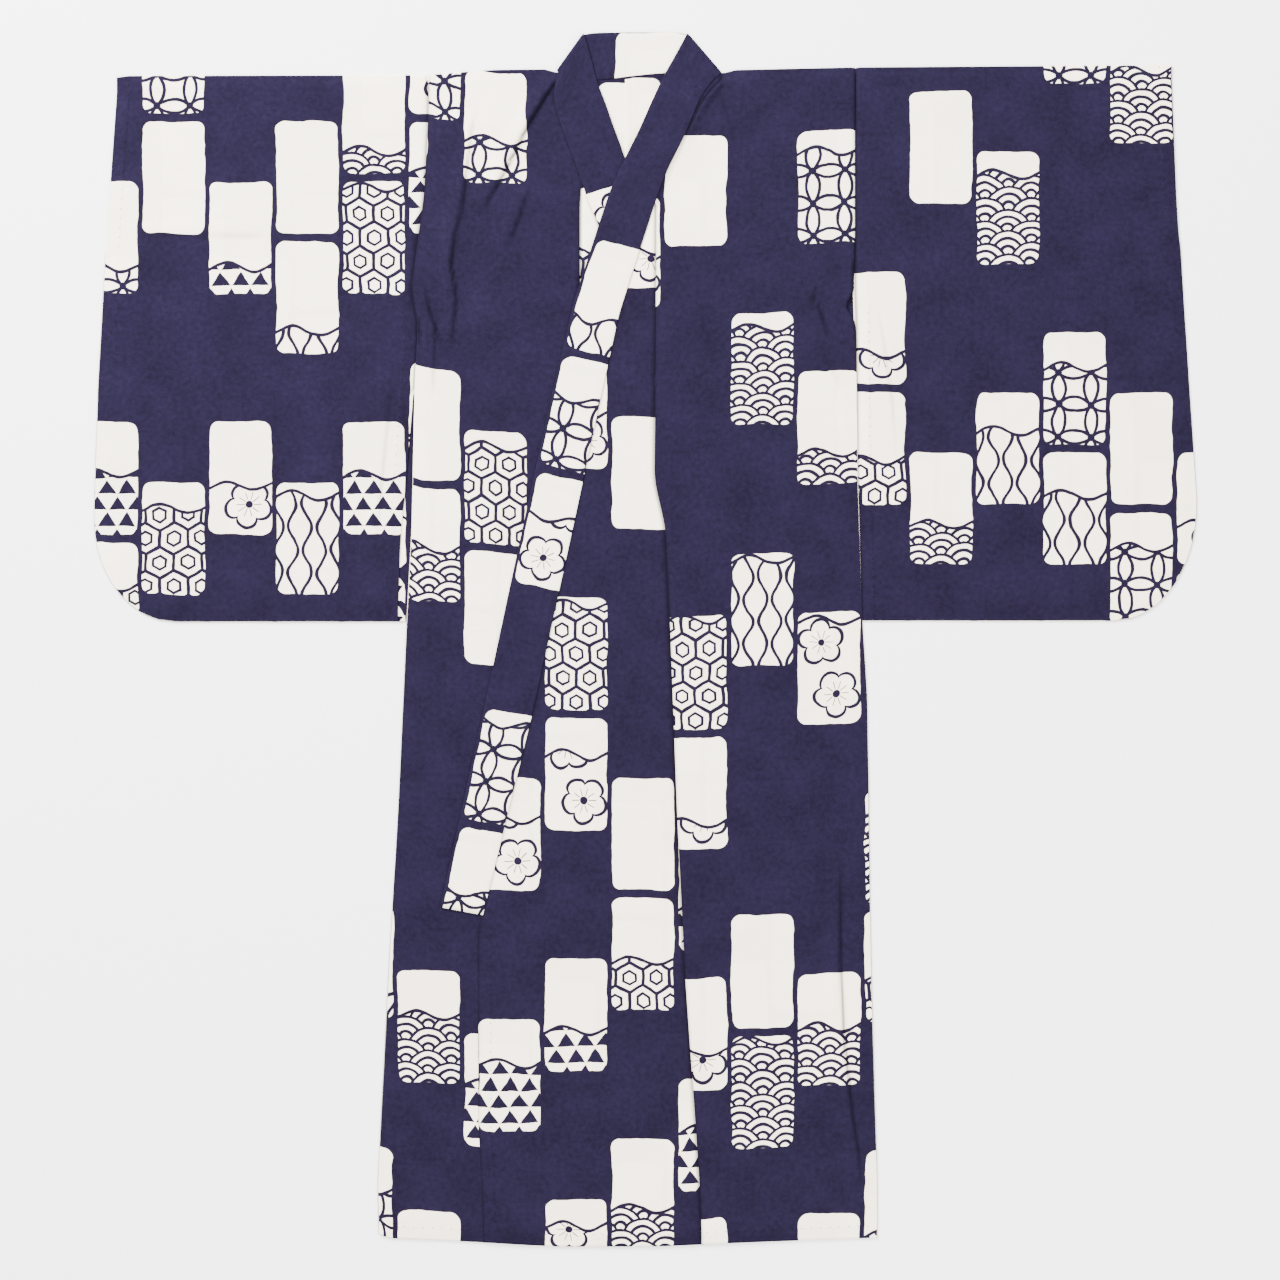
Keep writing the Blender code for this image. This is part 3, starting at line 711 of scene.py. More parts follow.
def rising_steam(recipe, x, y, spacing):
    """Upright lines that bow towards and away from each other: a sine of turned sign."""
    maths = recipe.maths
    number = maths("ROUND", maths("DIVIDE", x, spacing))
    local = maths("MULTIPLY_ADD", number, -spacing, x)
    sign = maths("MULTIPLY_ADD", maths("FLOORED_MODULO", number, 2.0), -2.0, 1.0)
    bow = maths("MULTIPLY", maths("SINE", maths("MULTIPLY", y, 0.13)), spacing * 0.32)
    return recipe.below(recipe.gap(local, maths("MULTIPLY", bow, sign)), 2.0, BLUR)


def fish_scales(recipe, x, y, width):
    """Rows of solid triangles: the width left at a height, against the distance from the middle."""
    maths = recipe.maths
    rows = maths("DIVIDE", y, width * 0.8)
    row = maths("FLOOR", rows)
    slid = maths("MULTIPLY_ADD", maths("FLOORED_MODULO", row, 2.0), 0.5, maths("DIVIDE", x, width))
    middle = recipe.gap(maths("FRACT", slid), 0.5)
    height = maths("SUBTRACT", rows, row)
    return recipe.below(maths("MULTIPLY_ADD", height, 0.55, middle), 0.47, 0.02)


def print_group(blocks, motifs):
    """The dyed cloth's colour: navy ground, blocks left white, and lines drawn in some of them.

    One motif is picked for each block. It fills the block up to a wavy line, drawn as a band.
    The dye is mottled by fine and broad noise, and the layer below shows faintly through white.
    """
    recipe, start, end = new_group(
        "Yukata Print",
        (("Plan", "Vector"), ("Shift", "Vector"), ("Seed", "Float"), ("Under", "Vector"),
         ("Navy", "Color"), ("White", "Color")),
        ("Color", "Dyed"),
    )
    maths = recipe.maths
    plan, seed = start["Plan"], start["Seed"]
    own = recipe.group(blocks, {"Plan": plan, "Shift": start["Shift"], "Seed": seed})
    under = recipe.group(blocks, {"Plan": plan, "Shift": start["Under"], "Seed": seed})
    across, up, pick = own["Across"], own["Up"], own["Pick"]
    drawn = None
    share = 1.0 / (len(motifs) + 1)
    for number, motif in enumerate(motifs):
        line = recipe.group(motif, {"Across": across, "Up": up})["Line"]
        chosen = maths("COMPARE", pick, (number + 0.5) * share, share / 2)
        line = maths("MULTIPLY", line, chosen)
        drawn = line if drawn is None else maths("MAXIMUM", drawn, line)
    level = maths("MULTIPLY_ADD", own["Lot"], 96.0, -36.0)
    wave = maths("MULTIPLY", maths("SINE", maths("MULTIPLY", across, 0.11)), 5.0)
    gap = maths("SUBTRACT", maths("ADD", up, wave), level)
    zone = recipe.below(gap, 0.0, 0.4)
    band = recipe.below(maths("ABSOLUTE", gap), LINE, 0.4)
    has = maths("LESS_THAN", pick, 1.0 - share)
    drawn = maths("MAXIMUM", maths("MULTIPLY", drawn, zone), maths("MULTIPLY", band, has))
    white = maths("MULTIPLY", own["Block"], maths("SUBTRACT", 1.0, drawn))
    cloud = recipe.noise(plan, 190.0, 5.0, 0.65)
    pool = recipe.noise(plan, 24.0, 2.0)
    patchy = maths("ADD", maths("MULTIPLY", cloud, 0.65), maths("MULTIPLY", pool, 0.35))
    strength = recipe.step("ShaderNodeMapRange", {
        "Value": patchy, "From Min": 0.35, "From Max": 0.65, "To Min": 0.72, "To Max": 1.34,
    })
    through = maths("MULTIPLY_ADD", under["Block"], 0.055, 0.925)
    through = maths("MULTIPLY_ADD", pool, 0.05, through)
    navy = recipe.vectors("SCALE", start["Navy"], strength)
    pale = recipe.vectors("SCALE", start["White"], through)
    recipe.put(end, {
        "Color": recipe.blend(white, navy, pale),
        "Dyed": maths("SUBTRACT", 1.0, white),
    })
    return recipe.tree


# The weave's two thread spacings and the stretch of its slubs, then the turned hem's width,
# stitch length and height, and the stitches' depth, in metres.
WARP = 0.00055
WEFT = 0.00062
SLUBS = (60.0, 900.0, 1.0)
HEM_TURN = 0.0130
STITCH_LENGTH = 0.0100
TURN_HEIGHT = 0.00040
STITCH_DEPTH = 0.0003


def weave_group():
    """Height of the cotton: crossed threads, slubs along the weft, and a soft crumple."""
    recipe, start, end = new_group(
        "Plain Weave", (("Plan", "Vector"), ("Crumple", "Float")), ("Height",)
    )
    maths = recipe.maths
    parts = recipe.parts(start["Plan"])
    warp = maths("SINE", maths("MULTIPLY", parts[0], 2 * math.pi / WARP))
    weft = maths("SINE", maths("MULTIPLY", parts[1], 2 * math.pi / WEFT))
    threads = maths("MULTIPLY", maths("MULTIPLY", warp, weft), 0.00003)
    long = recipe.step("ShaderNodeMapping", {"Vector": start["Plan"], "Scale": SLUBS})
    slub = recipe.noise(long, 1.0, 2.0)
    crumple = recipe.noise(start["Plan"], 38.0, 4.0, 0.55)
    height = maths("MULTIPLY_ADD", slub, 0.00005, threads)
    recipe.put(end, {"Height": maths("MULTIPLY_ADD", crumple, start["Crumple"], height)})
    return recipe.tree


def stitches_group():
    """Hand stitches of the turned hems: a dot in every stitch length, on a line along the edge.

    The turned cloth also stands a little higher as far as that line.
    """
    recipe, start, end = new_group(
        "Hem Stitches", (("Plan", "Vector"), ("Hem", "Float"), ("Side", "Float")),
        ("Stitch", "Height"),
    )
    maths = recipe.maths
    parts = recipe.parts(start["Plan"])
    marks = []
    turns = []
    for distance, along in ((start["Hem"], parts[0]), (start["Side"], parts[1])):
        line = recipe.below(recipe.gap(distance, HEM_TURN), 0.0006, 0.0002)
        place = maths("FRACT", maths("DIVIDE", along, STITCH_LENGTH))
        dot = recipe.below(recipe.gap(place, 0.5), 0.075, 0.02)
        marks.append(maths("MULTIPLY", line, dot))
        turns.append(recipe.below(distance, HEM_TURN + 0.001, 0.0008))
    stitch = maths("MAXIMUM", marks[0], marks[1])
    height = maths("MULTIPLY", maths("MAXIMUM", turns[0], turns[1]), TURN_HEIGHT)
    height = maths("MULTIPLY_ADD", stitch, -STITCH_DEPTH, height)
    recipe.put(end, {"Stitch": stitch, "Height": height})
    return recipe.tree


# The dye, the cotton left white, and the dark navy painted as shade along creases and seams, which
# also colours the stitch dots.
NAVY = (0.0073, 0.0050, 0.0154, 1.0)
WHITE = (0.98, 0.88, 0.70, 1.0)
PAINTED_SHADE_AND_STITCH_NAVY = (NAVY[0] * 0.35, NAVY[1] * 0.35, NAVY[2] * 0.35, 1.0)
PRINT = print_group(blocks_group(), (
    line_group("Wave Scales", wave_scales, 24.0),
    line_group("Plum Flowers", plum_flowers, 24.0, 28.0),
    line_group("Linked Rings", linked_rings, 34.0),
    line_group("Tortoise Shell", tortoise_shell, 29.0),
    line_group("Rising Steam", rising_steam, 15.0),
    line_group("Fish Scales", fish_scales, 21.0),
))
WEAVE = weave_group()
STITCHES = stitches_group()


def printed_cotton(name, shift, seed, under):
    """Cotton of one piece, cut from its own place in the printed length."""
    material = bpy.data.materials.new(name)
    material.use_nodes = True
    recipe = Recipe(material.node_tree)
    plan = recipe.step("ShaderNodeUVMap", {}, uv_map="cutting_plan")
    dye = recipe.group(PRINT, {
        "Plan": plan, "Shift": (*shift, 0.0), "Seed": seed, "Under": (*under, 0.0),
        "Navy": NAVY, "White": WHITE,
    })
    weave = recipe.group(WEAVE, {"Plan": plan, "Crumple": 0.0016})
    painted_shade, hem, side = (
        recipe.step("ShaderNodeAttribute", {}, 2, attribute_name=label) for label in MARKS
    )
    sewn = recipe.group(STITCHES, {"Plan": plan, "Hem": hem, "Side": side})
    # The painted shade of creases and seams, and the stitch dots, darken the print towards the dark
    # navy.
    painted_shade_and_stitches = recipe.maths("MULTIPLY_ADD", sewn["Stitch"], 0.6, painted_shade)
    painted_shade_and_stitches = recipe.maths("MINIMUM", painted_shade_and_stitches, 0.75)
    height = recipe.maths("ADD", weave["Height"], sewn["Height"])
    shader = material.node_tree.nodes["Principled BSDF"].inputs
    recipe.put(shader, {
        "Base Color": recipe.blend(painted_shade_and_stitches, dye["Color"], PAINTED_SHADE_AND_STITCH_NAVY),
        "Roughness": recipe.maths("MULTIPLY_ADD", dye["Dyed"], -0.06, 0.90),
        "Normal": recipe.step(
            "ShaderNodeBump", {"Height": height, "Strength": 0.8, "Distance": 1.0}
        ),
    })
    shader["Specular IOR Level"].default_value = 0.03
    shader["Sheen Weight"].default_value = 0.01
    shader["Sheen Roughness"].default_value = 0.5
    return material


def lower_levels(x, y):
    """Heights of the lower front's free edges, and inside them."""
    return EDGE_TOP, FIRST_TOP


# Folds of the right front: pleats that fan out from the neck to the armhole.
RIGHT_FOLDS = (
    ("down", -24, 2.6, (
        (600, -90, 0), (590, -96.2, 1.8), (571.9, -108.8, 2.8), (545, -125.5, 3),
        (517.3, -139.4, 3), (490, -153.5, 2.6), (468.4, -165.8, 1.8), (448, -176, 0),
    )),
    ("down", -16, 2.6, (
        (480, -124, 0), (466.4, -129.4, 1.4), (443, -136.8, 2), (425, -144.1, 1.2),
        (410, -150, 0),
    )),
    ("down", -16, 2.6, (
        (560, -182, 0), (539, -185.8, 1.2), (473.6, -194, 2.2), (448, -197.6, 1.8),
        (430.4, -203.1, 2.2), (393.7, -207.6, 3), (360.9, -202.2, 2.2), (335.3, -204.9, 2),
        (300, -208, 0),
    )),
    ("down", -10, 2.2, (
        (372, -250, 0), (357.5, -248.7, 1.6), (326.8, -241.3, 1.8), (316, -238, 0),
    )),
    ("down", -12, 2.4, (
        (372, -236, 0), (357.5, -233, 1.8), (328.2, -224, 2), (312, -216, 1.2), (300, -210, 0),
    )),
    ("down", -14, 2.6, (
        (340, -223.5, 0), (333, -224, 1), (300, -225.2, 1.2), (274, -226.5, 0.8), (255, -227, 0),
    )),
)

# Creases of the right back: a pull below the armhole, and lines left by folding away.
RIGHT_BACK_FOLDS = (
    ("down", -14, 3, (
        (420, -210, 0), (380, -204, 0.7), (320, -190, 0.8), (250, -178, 0.5), (200, -174, 0),
    )),
    ("over", 12, 3, (
        (-240, -12, 0), (-210, -13, 0.5), (-90, -15, 0.4), (-40, -15.5, 0),
    )),
    ("down", 16, 3, (
        (-180, -142, 0), (-260, -145, 0.5), (-430, -152, 0.6), (-560, -154, 0),
    )),
)

cloth = Cloth()
body_half(
    cloth, "body_right", -1, RIGHT_FRONT_TIP, RIGHT_NECK_CORNER, RIGHT_COLLAR,
    lower_levels, RIGHT_FOLDS, RIGHT_BACK_FOLDS,
)
right_half = cloth.finish("right_half", printed_cotton(
    "right_cotton", shift=(0.05275, 0.0355), seed=1245.0, under=(0.085, 0.100)
))
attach(right_half, "root")
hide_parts("body_right")

# Left half of the body. It is cut and sewn as the right one. Its front lies over the right front
# and the right stretch of the collar, which lift it, and it laps the right back a little at the
# centre seam. A pressed line runs down its side, and it is drawn in at the armhole's end.
LEFT_FRONT_TIP = 0.4610
LEFT_NECK_CORNER = (0.0830, 0.5960)
UPPER_LOFT = 0.0012
UPPER_UNDERSIDE = 0.0017
COLLAR_UNDER = 0.0006
LOWER_HEM = -0.6400
LEFT_COLLAR = np.array((
    (-0.1716, -0.2909, -0.2170, -0.2825, 0.0034),
    (-0.1156, -0.0628, -0.1663, -0.0523, 0.0034),
    (-0.0977, 0.0216, -0.1484, 0.0322, 0.0034),
    (-0.0744, 0.1283, -0.1251, 0.1399, 0.0034),
    (-0.0470, 0.2561, -0.0966, 0.2687, 0.0034),
    (-0.0280, 0.3437, -0.0755, 0.3575, 0.0040),
    (0.0111, 0.4641, -0.0375, 0.4747, 0.0040),
    (0.0238, 0.4979, -0.0206, 0.5106, 0.0040),
    (0.0396, 0.5285, -0.0058, 0.5401, 0.0036),
    (0.0491, 0.5507, 0.0069, 0.5697, 0.0029),
    (0.0576, 0.5718, 0.0195, 0.5961, 0.0025),
    (0.0692, 0.5887, 0.0322, 0.6183, 0.0023),
    (0.0793, 0.5975, 0.0434, 0.6392, 0.0023),
))


def cover_edge(y):
    """x of the outer edge of what lies under the left front: the right collar and okumi."""
    end = RIGHT_COLLAR[-1]
    below = [(-0.6360, 0.1190), (end[1] - 0.030, end[0]), (end[1] - 0.004, end[2])]
    table = np.array(below + [(row[3], row[2]) for row in RIGHT_COLLAR[::-1]])
    return np.interp(y, table[:, 0], table[:, 1])


def upper_levels(x, y):
    """Heights of the upper front's free edges, and inside them.

    A free edge rests on the lower front, which is down at its own hem, or beyond its cover on the
    back. The level is lifted by the right front, and a little more by the collar on it.
    """
    beyond = x - cover_edge(y)
    first_top = EDGE_TOP + (FIRST_TOP - EDGE_TOP) * rise(y - LOWER_HEM, HEM_REACH)
    edge = EDGE_TOP + beside(beyond - 0.002, 0.010) * (first_top + ON_TOP - EDGE_TOP)
    on_collar = ease((beyond + 0.0815) / 0.026) * ease((y - RIGHT_COLLAR[-1, 1] + 0.050) / 0.040)
    lifted = beside(beyond - 0.005, 0.042) * (UPPER_UNDERSIDE + COLLAR_UNDER * on_collar)
    return edge, UPPER_UNDERSIDE + lifted + UPPER_LOFT


# Folds of the left front: a pressed line down the side, and pulls at armhole and neck.
LEFT_FOLDS = (
    ("down", 10, 2.2, (
        (598, 84, 0), (589.8, 79.5, 1.6), (567.1, 61.3, 2), (550.4, 53.2, 1.6), (536.8, 47, 1.2),
        (510, 37, 0),
    )),
    ("down", 12, 2.2, (
        (598, 80.5, 0), (588, 81.8, 1.4), (564, 84.8, 1.6), (555, 87.6, 1.2), (535, 93, 0),
    )),
    ("down", -16, 2.6, (
        (-225, 203, 0), (-264.5, 203.3, 1.6), (-338.4, 203.3, 2.4), (-422.9, 207.5, 2.6),
        (-500, 216, 2.4), (-540.1, 222.3, 2), (-580, 226, 0),
    )),
    ("down", -12, 2.4, (
        (405, 217, 0), (396.5, 217.6, 1.4), (350, 218.5, 2), (311, 220.9, 1.4), (290, 221.5, 0),
    )),
    ("down", -14, 2.4, (
        (376, 177, 0), (367.6, 176.4, 1.2), (355.3, 174.6, 1.6), (351.8, 180, 1.8),
        (332.5, 186.8, 2), (316, 192, 0),
    )),
    ("down", 14, 2.4, (
        (330, 184, 0), (305, 190, 1), (285, 198.5, 1.4), (268, 209, 0),
    )),
)

# Creases of the left back: a shorter pull, and lines left by folding away.
LEFT_BACK_FOLDS = (
    ("down", 14, 3, (
        (400, 200, 0), (370, 194, 0.6), (330, 183, 0.7), (290, 176, 0),
    )),
    ("over", 12, 3, (
        (20, 8, 0), (60, 7, 0.4), (170, 3, 0.6), (215, 2, 0),
    )),
    ("down", -16, 3, (
        (-250, 160, 0), (-330, 163, 0.6), (-480, 168, 0.4), (-590, 170, 0),
    )),
)

cloth = Cloth()
body_half(
    cloth, "body_left", 1, LEFT_FRONT_TIP, LEFT_NECK_CORNER, LEFT_COLLAR,
    upper_levels, LEFT_FOLDS, LEFT_BACK_FOLDS,
)
left_half = cloth.finish("left_half", printed_cotton(
    "left_cotton", shift=(0.05275, 0.0355), seed=1126.0, under=(0.010, 0.020)
))
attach(left_half, "root")
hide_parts("body_left")

# Right overlap panel, or okumi. It is half a loom width of the same cotton, sewn to the inner
# edge of the right front, turned over and hemmed at its free edge, and cut on a slant into the
# collar. It lies hidden under the left front.
RIGHT_OKUMI_TIP = 0.4760
OKUMI_FLOOR = 0.0002
# Painted shade along the okumi's seam, under the body's edge: how dark, and how wide. The width
# serves the sleeve's seam too.
OKUMI_PAINTED_SHADE = 0.75
PAINTED_SEAM_SHADE_WIDTH = 0.0018


def okumi(cloth, node, side, tip, strip, levels):
    """Lay out an overlap panel: hem to tip, with laps under the body and inside the collar.

    Its height is a level that sinks at its hem and free edge and under the body's seam.
    """
    skin = skin_of(node, *BOTH_LAYERS)
    low = skin[:, :, 1].min()
    high = tip + 0.004
    level = low + (high - low) * shares(high - low, ROW)
    seam, free_edge = side_lines(skin, level, side, bottom_trim=0.012, top_trim=0.004)
    at_collar = level > strip[:, 1].min() + 0.001
    edge = free_edge - side * SEAM_LAP * at_collar
    lapped = seam + side * SEAM_LAP
    x = between(side, lapped, edge, shares(abs(lapped - edge).max(), COLUMN))
    at_collar = at_collar[:, None]
    hem = end_line(skin, x, False)
    y = bend_to(np.repeat(level[:, None], x.shape[1], 1), hem, low)
    from_seam = (seam[:, None] - x) * side
    from_edge = (x - free_edge[:, None]) * side
    free = rise(y - hem, HEM_REACH) * np.where(at_collar, 1.0, rise(from_edge, SIDE_REACH))
    z = laid(*levels(x, y), free, x, y)
    z = z - (SEAM_SINK + ON_TOP) * beside(from_seam, SEAM_REACH)
    z = np.maximum(z, CLOTH + OKUMI_FLOOR)
    lap = along_seam(strip, 4, y) + COLLAR_LAP_HEIGHT
    z = z + (lap - z) * (beside(from_edge, SEAM_REACH) * at_collar)
    # Painted shade along the seam under the body's edge and along the collar's seam.
    painted_shade = OKUMI_PAINTED_SHADE * bell(from_seam, PAINTED_SEAM_SHADE_WIDTH)
    painted_shade = painted_shade + SEAM_PAINTED_SHADE * bell(from_edge, PAINTED_SHADE_WIDTH)
    turned = np.where(at_collar, 1.0, from_edge)
    cloth.add_faces(cloth.add_points(x, y, z, x, y, painted_shade, y - hem, turned))


cloth = Cloth()
okumi(cloth, "okumi_right", -1, RIGHT_OKUMI_TIP, RIGHT_COLLAR, lower_levels)
right_overlap = cloth.finish("right_overlap", printed_cotton(
    "right_overlap_cotton", shift=(0.031, 0.090), seed=1842.0, under=(0.0, 0.0)
))
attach(right_overlap, "root")
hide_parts("okumi_right")

# Left overlap panel, or okumi. It is cut and sewn as the right one, to the inner edge of the
# left front, and lies on top, so that its hemmed edge shows from the collar's end to the hem.
LEFT_OKUMI_TIP = 0.4581

cloth = Cloth()
okumi(cloth, "okumi_left", 1, LEFT_OKUMI_TIP, LEFT_COLLAR, upper_levels)
left_overlap = cloth.finish("left_overlap", printed_cotton(
    "left_overlap_cotton", shift=(0.038, 0.015), seed=2317.0, under=(0.05, 0.04)
))
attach(left_overlap, "root")
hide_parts("okumi_left")

# Right sleeve. One length of the same cotton is folded over the arm, seamed along the bottom,
# round the corner and up to the cuff opening, and sewn to the body at the armhole. Below that
# its inner edge is open, and turned over as the cuff is.
CUFF_OPENING = 0.183
BACK_LAYER = (-0.001, 0.0013)
# How dark the painted shade is along the sleeve's inner edge, where its two layers are sewn.
SLEEVE_PAINTED_SHADE = 0.8
RIGHT_CORNER = (0.0856, 0.1067)


def sleeve(cloth, node, side, corner, folds, back_folds):
    """Lay out a sleeve: front up to the fold, over it, and down the back, with a round corner.

    The corner is a quarter of an ellipse of the given reach and rise. The height is a level that
    sinks at the free edges and at the armhole's seam, plus folds and waves.
    """
    front_skin = skin_of(node, *FRONT_LAYER)
    whole_skin = skin_of(node, *BOTH_LAYERS)
    radius = EDGE_TOP / 2
    low = front_skin[:, :, 1].min() + radius
    high = whole_skin[:, :, 1].max()
    level = low + (high - low) * shares(high - low, ROW * 0.9)
    trims = {"bottom_trim": 0.003, "top_trim": 0.012}
    outer, front_edge = side_lines(front_skin, level, side, **trims)
    back_edge = side_lines(skin_of(node, *BACK_LAYER), level, side, **trims)[1]
    corner_y = low + corner[1]
    corner_x = np.interp(corner_y, level, outer) - side * corner[0]
    turn = np.sqrt(np.clip(1.0 - ((corner_y - level) / corner[1]) ** 2, 0.0, 1.0))
    outer = np.where(level < corner_y, corner_x + side * corner[0] * turn, outer)
    outer = outer - side * radius
    sewn = (level > ARMHOLE_END)[:, None]
    joined = np.abs(front_edge - back_edge) < 0.0008
    across = shares(abs(outer - front_edge).max(), COLUMN)
    layers = []
    for edge in (front_edge, back_edge):
        x = between(side, outer, edge - side * SEAM_LAP * joined, across)
        top = end_line(whole_skin, x, True) - PRESSED_TOP / 2
        y = bend_to(np.repeat(level[:, None], len(across), 1), top, high)
        layers.append((x, y, top, (outer[:, None] - x) * side, (x - edge[:, None]) * side))

    x, y, top, from_outer, from_arm = layers[0]
    free = rise(y - low, HEM_REACH) * rise(from_outer, SIDE_REACH)
    free = free * np.where(sewn, 1.0, rise(from_arm, SIDE_REACH))
    fold, painted_shade = creased(x, y, folds)
    z = pressed_fold(laid(EDGE_TOP, FIRST_TOP, free, x + 0.7, y) + fold, top - y)
    z = z - (SEAM_SINK + ON_TOP) * sewn * beside(from_arm, SEAM_REACH)
    # Painted shade along the inner edge where the two layers are sewn together.
    painted_shade = painted_shade + SLEEVE_PAINTED_SHADE * joined[:, None] * bell(from_arm, PAINTED_SEAM_SHADE_WIDTH)
    at_cuff = (level > high - CUFF_OPENING)[:, None]
    turned = np.minimum(np.where(at_cuff, from_outer, 1.0), np.where(sewn, 1.0, from_arm))
    front = (x, y, z, painted_shade, turned)

    x, y, top, from_outer, from_arm = layers[1]
    lifted, back_painted_shade = creased(x, y, back_folds)
    lifted = lifted + SEAM_SINK * sewn * beside(from_arm, SEAM_REACH)
    back = (x, y, lifted, back_painted_shade, np.where(at_cuff, from_outer, 1.0))
    *grid, painted_shade, turned = over_fold(front, back, (painted_shade[-1:], turned[-1:]), low)
    numbers = cloth.add_points(*grid, painted_shade, 1.0, turned)
    cloth.add_faces(numbers)
    closed = np.flatnonzero(level < high - CUFF_OPENING)
    runs = []
    for layer in (numbers[:len(level)], numbers[-len(level):][::-1]):
        if side < 0:
            runs.append(np.concatenate([layer[closed, 0][::-1], layer[0, 1:]]))
        else:
            runs.append(np.concatenate([layer[0, :], layer[closed, -1][1:]]))
    cloth.roll(*runs)


# Creases of the right sleeve: a faint level line a third of the way down, and a soft pull.
RIGHT_SLEEVE_FOLDS = (
    ("over", 12, 2.8, (
        (-562, 432.5, 0), (-540, 432, 0.9), (-500, 431.5, 1), (-420, 430, 0.8), (-390, 430, 0),
    )),
    ("down", -18, 3.2, (
        (300, -270, 0), (240, -274, 0.8), (150, -283, 1), (90, -288, 0),
    )),
)

# Creases of the right sleeve's back: a level line from folding away, and a slanted one.
RIGHT_SLEEVE_BACK_FOLDS = (
    ("over", 12, 3, (
        (-560, 300, 0), (-520, 299, 0.5), (-380, 296, 0.6), (-320, 295, 0),
    )),
    ("down", 14, 3, (
        (420, -340, 0), (360, -347, 0.6), (300, -356, 0),
    )),
)

cloth = Cloth()
sleeve(cloth, "sleeve_right", -1, RIGHT_CORNER, RIGHT_SLEEVE_FOLDS, RIGHT_SLEEVE_BACK_FOLDS)
right_sleeve = cloth.finish("right_sleeve", printed_cotton(
    "right_sleeve_cotton", shift=(0.040, 0.020), seed=409.0, under=(0.02, 0.10)
))
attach(right_sleeve, "root")
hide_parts("sleeve_right")

# Left sleeve. It is cut and sewn as the right one, a little longer as it lies, and its corner is
# rounder. A soft pull runs down from the armhole's end.
LEFT_CORNER = (0.0866, 0.1215)

# Creases of the left sleeve: a soft pull from the armhole's end, and a short level line.
LEFT_SLEEVE_FOLDS = (
    ("down", 18, 3.2, (
        (350, 248, 0), (320, 254, 1), (250, 264, 1.2), (180, 270, 0),
    )),
    ("over", 12, 2.8, (
        (440, 279, 0), (470, 280, 0.7), (530, 281, 0.9), (570, 281, 0),
    )),
)

# Creases of the left sleeve's back: a level line from folding away, and an upright one.
LEFT_SLEEVE_BACK_FOLDS = (
    ("over", -12, 3, (
        (280, 330, 0), (340, 331, 0.6), (480, 333, 0.5), (540, 333, 0),
    )),
    ("down", -14, 3, (
        (250, 420, 0), (200, 423, 0.6), (120, 425, 0),
    )),
)

cloth = Cloth()
sleeve(cloth, "sleeve_left", 1, LEFT_CORNER, LEFT_SLEEVE_FOLDS, LEFT_SLEEVE_BACK_FOLDS)
left_sleeve = cloth.finish("left_sleeve", printed_cotton(
    "left_sleeve_cotton", shift=(0.005, 0.052), seed=3902.0, under=(0.045, 0.06)
))
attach(left_sleeve, "root")
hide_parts("sleeve_left")

# Collar. One strip of the same cotton is folded in two along its length and sewn on over the raw
# edges of both fronts, both okumi and the back of the neck. It turns over at each side of the
# neck, so that its other face is up behind it.
COLLAR_HALF = 0.0009
COLLAR_STEP = 0.005
COLLAR_WIDTH = 0.0505
COLLAR_INNER_START = 0.053
SEAM_THINNED = 0.0003
RIM_THINNED = 0.0004
END_FLATTENED = 0.55


def smooth_strip(table):
    """Sections every few millimetres along a stretch, with the corners between them rounded."""
    run = np.hypot(np.diff(table[:, 0]), np.diff(table[:, 1]))
    run = np.maximum(run, np.hypot(np.diff(table[:, 2]), np.diff(table[:, 3])))
    place = np.concatenate([[0.0], np.cumsum(run)])
    places = np.linspace(0.0, place[-1], max(4, math.ceil(place[-1] / COLLAR_STEP)) + 1)
    kept = np.stack([np.interp(places, place, column) for column in table.T], 1)
    for _ in range(6):
        kept[1:-1] = 0.25 * kept[:-2] + 0.5 * kept[1:-1] + 0.25 * kept[2:]
    return kept


def collar_turn(upper, lower):
    """Sections round the turn of the strip: half a circle whose axis is the turn's line.

    The first and last section are those that it joins, and are left out.
    """
    line = upper[2:4] - upper[:2]
    outward = np.array([line[1], -line[0]]) / np.hypot(*line)
    if outward[0] * upper[0] < 0.0:
        outward = -outward
    radius = abs(upper[4] - lower[4]) / 2
    turn = np.linspace(0.0, np.pi, 9)[1:-1]
    bulge = outward[None, :] * (radius * np.sin(turn))[:, None]
    height = (upper[4] + lower[4]) / 2 + radius * np.cos(turn)
    place = np.concatenate([upper[None, :2] + bulge, upper[None, 2:4] + bulge, height[:, None]], 1)
    facing = np.concatenate([outward[None, :] * np.sin(turn)[:, None], np.cos(turn)[:, None]], 1)
    return place, facing


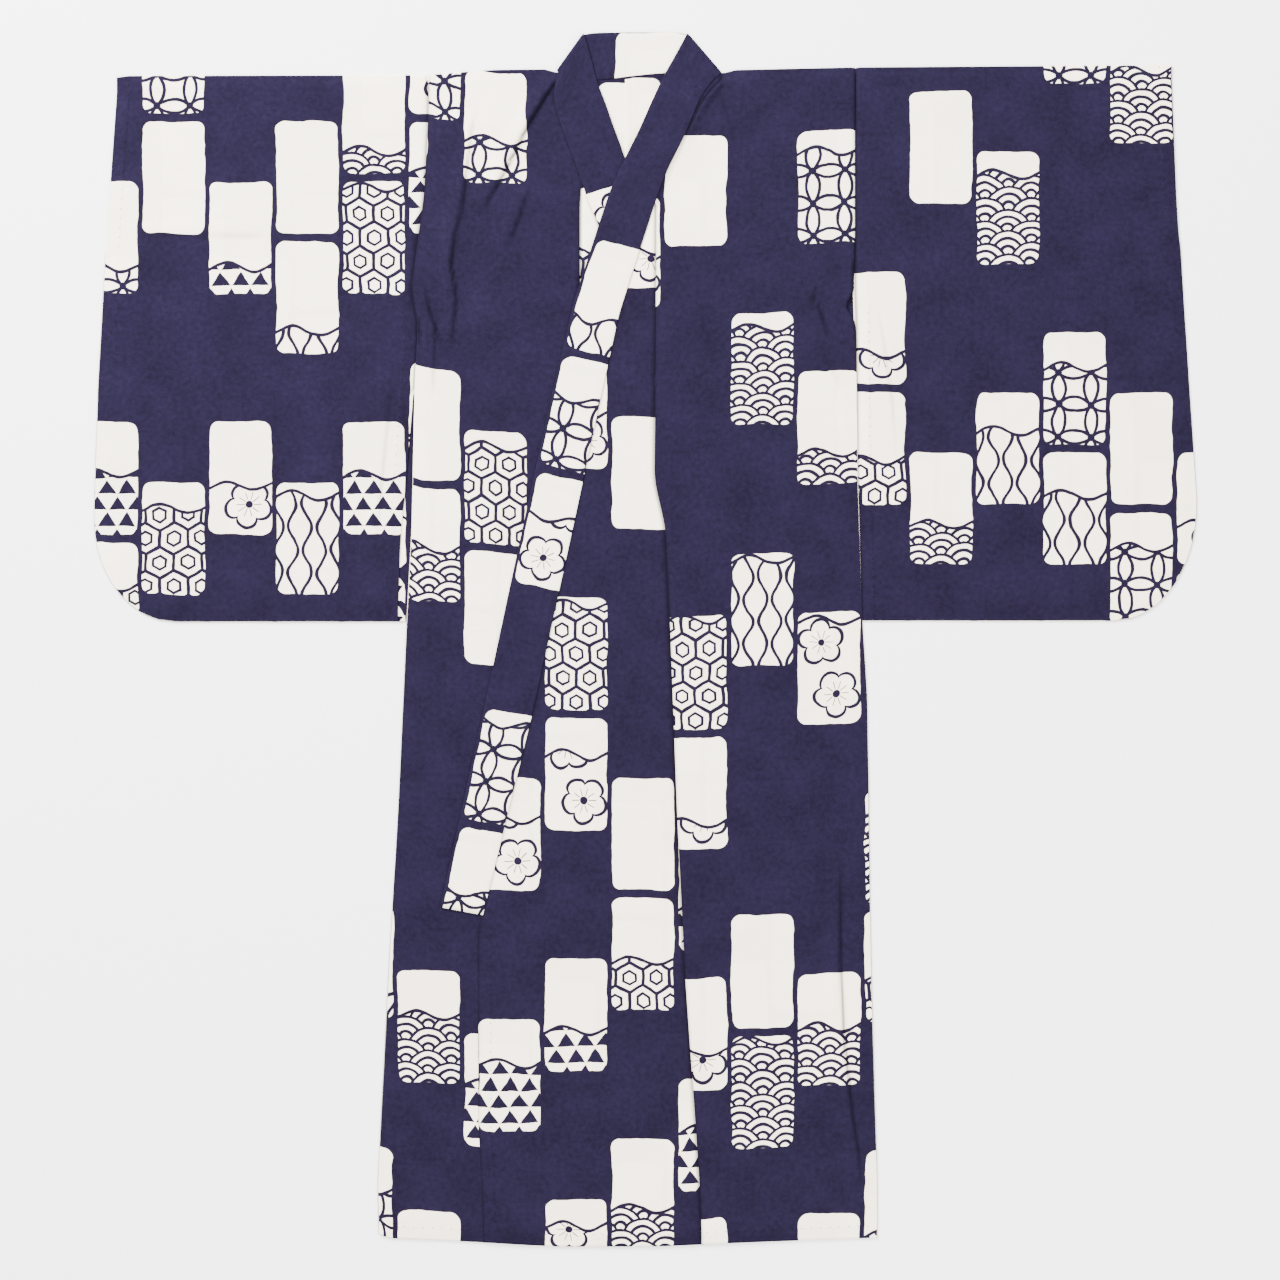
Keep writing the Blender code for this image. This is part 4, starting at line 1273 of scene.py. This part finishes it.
def collar(cloth):
    """Carry the collar's section along the strip and over its two turns.

    The section is the strip folded in two: its outer half from the seam to the free edge,
    half a small circle there, and its inner half back to the seam. It thins towards both edges
    and towards both ends, which are closed.
    """
    left, neck, right = map(smooth_strip, (LEFT_COLLAR, NECK_COLLAR, RIGHT_COLLAR))
    left_turn, left_facing = collar_turn(left[-1], neck[0])
    right_turn, right_facing = collar_turn(right[0], neck[-1])
    place = np.concatenate([left, left_turn, neck, right_turn[::-1], right])
    facing = np.concatenate([
        np.tile((0.0, 0.0, 1.0), (len(left), 1)), left_facing,
        np.tile((0.0, 0.0, -1.0), (len(neck), 1)), right_facing[::-1],
        np.tile((0.0, 0.0, 1.0), (len(right), 1)),
    ])
    seam = np.concatenate([place[:, :2], place[:, 4:5] + COLLAR_HALF], 1)
    free = np.concatenate([place[:, 2:4], place[:, 4:5] + COLLAR_HALF], 1)
    width = np.linalg.norm(free - seam, axis=1)
    middle = (seam + free) / 2
    along = np.concatenate([[0.0], np.cumsum(np.linalg.norm(np.diff(middle, axis=0), axis=1))])
    over = shares(1.0, 0.045)
    thinned = SEAM_THINNED * (1 - ease(over / 0.10))
    outer_height = COLLAR_HALF - thinned - RIM_THINNED * ease((over - 0.93) / 0.07)
    rim = outer_height[-1]
    turn = np.linspace(0.0, np.pi, 6)[1:-1]
    share = np.concatenate([over, np.ones(len(turn)), over[::-1]])
    push = np.concatenate([np.zeros(len(over)), rim * np.sin(turn), np.zeros(len(over))])
    height = np.concatenate([outer_height, rim * np.cos(turn), -outer_height[::-1]])
    plan_u = np.concatenate([
        over * COLLAR_WIDTH, COLLAR_WIDTH + 0.0008 * turn,
        COLLAR_INNER_START + (1 - over[::-1]) * COLLAR_WIDTH,
    ])
    reach = share[None, :] - (0.0006 / width)[:, None] * (share[None, :] > 0.5)
    closing = np.minimum(along, along[-1] - along)
    flat = 1.0 - END_FLATTENED + END_FLATTENED * ease((closing + 0.0005) / 0.004)
    inward = (free - seam) / width[:, None]
    points = seam[:, None, :] + (free - seam)[:, None, :] * reach[:, :, None]
    thick = facing[:, None, :] * height[None, :, None] * flat[:, None, None]
    points = points + inward[:, None, :] * push[None, :, None] + thick
    v = np.repeat(along[:, None], len(share), 1)
    numbers = cloth.add_points(*np.moveaxis(points, 2, 0), plan_u[None, :], v)
    cloth.add_faces(numbers[:, ::-1])
    half = len(share) // 2
    for end, order in ((numbers[0], 1), (numbers[-1], -1)):
        cloth.add_faces(np.stack([end[:half], end[::-1][:half]])[:, ::order])


cloth = Cloth()
collar(cloth)
collar_strip = cloth.finish("collar_strip", printed_cotton(
    "collar_cotton", shift=(0.0203, 0.034), seed=5260.0, under=(0.0, 0.05)
))
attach(collar_strip, "root")
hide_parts("collar")
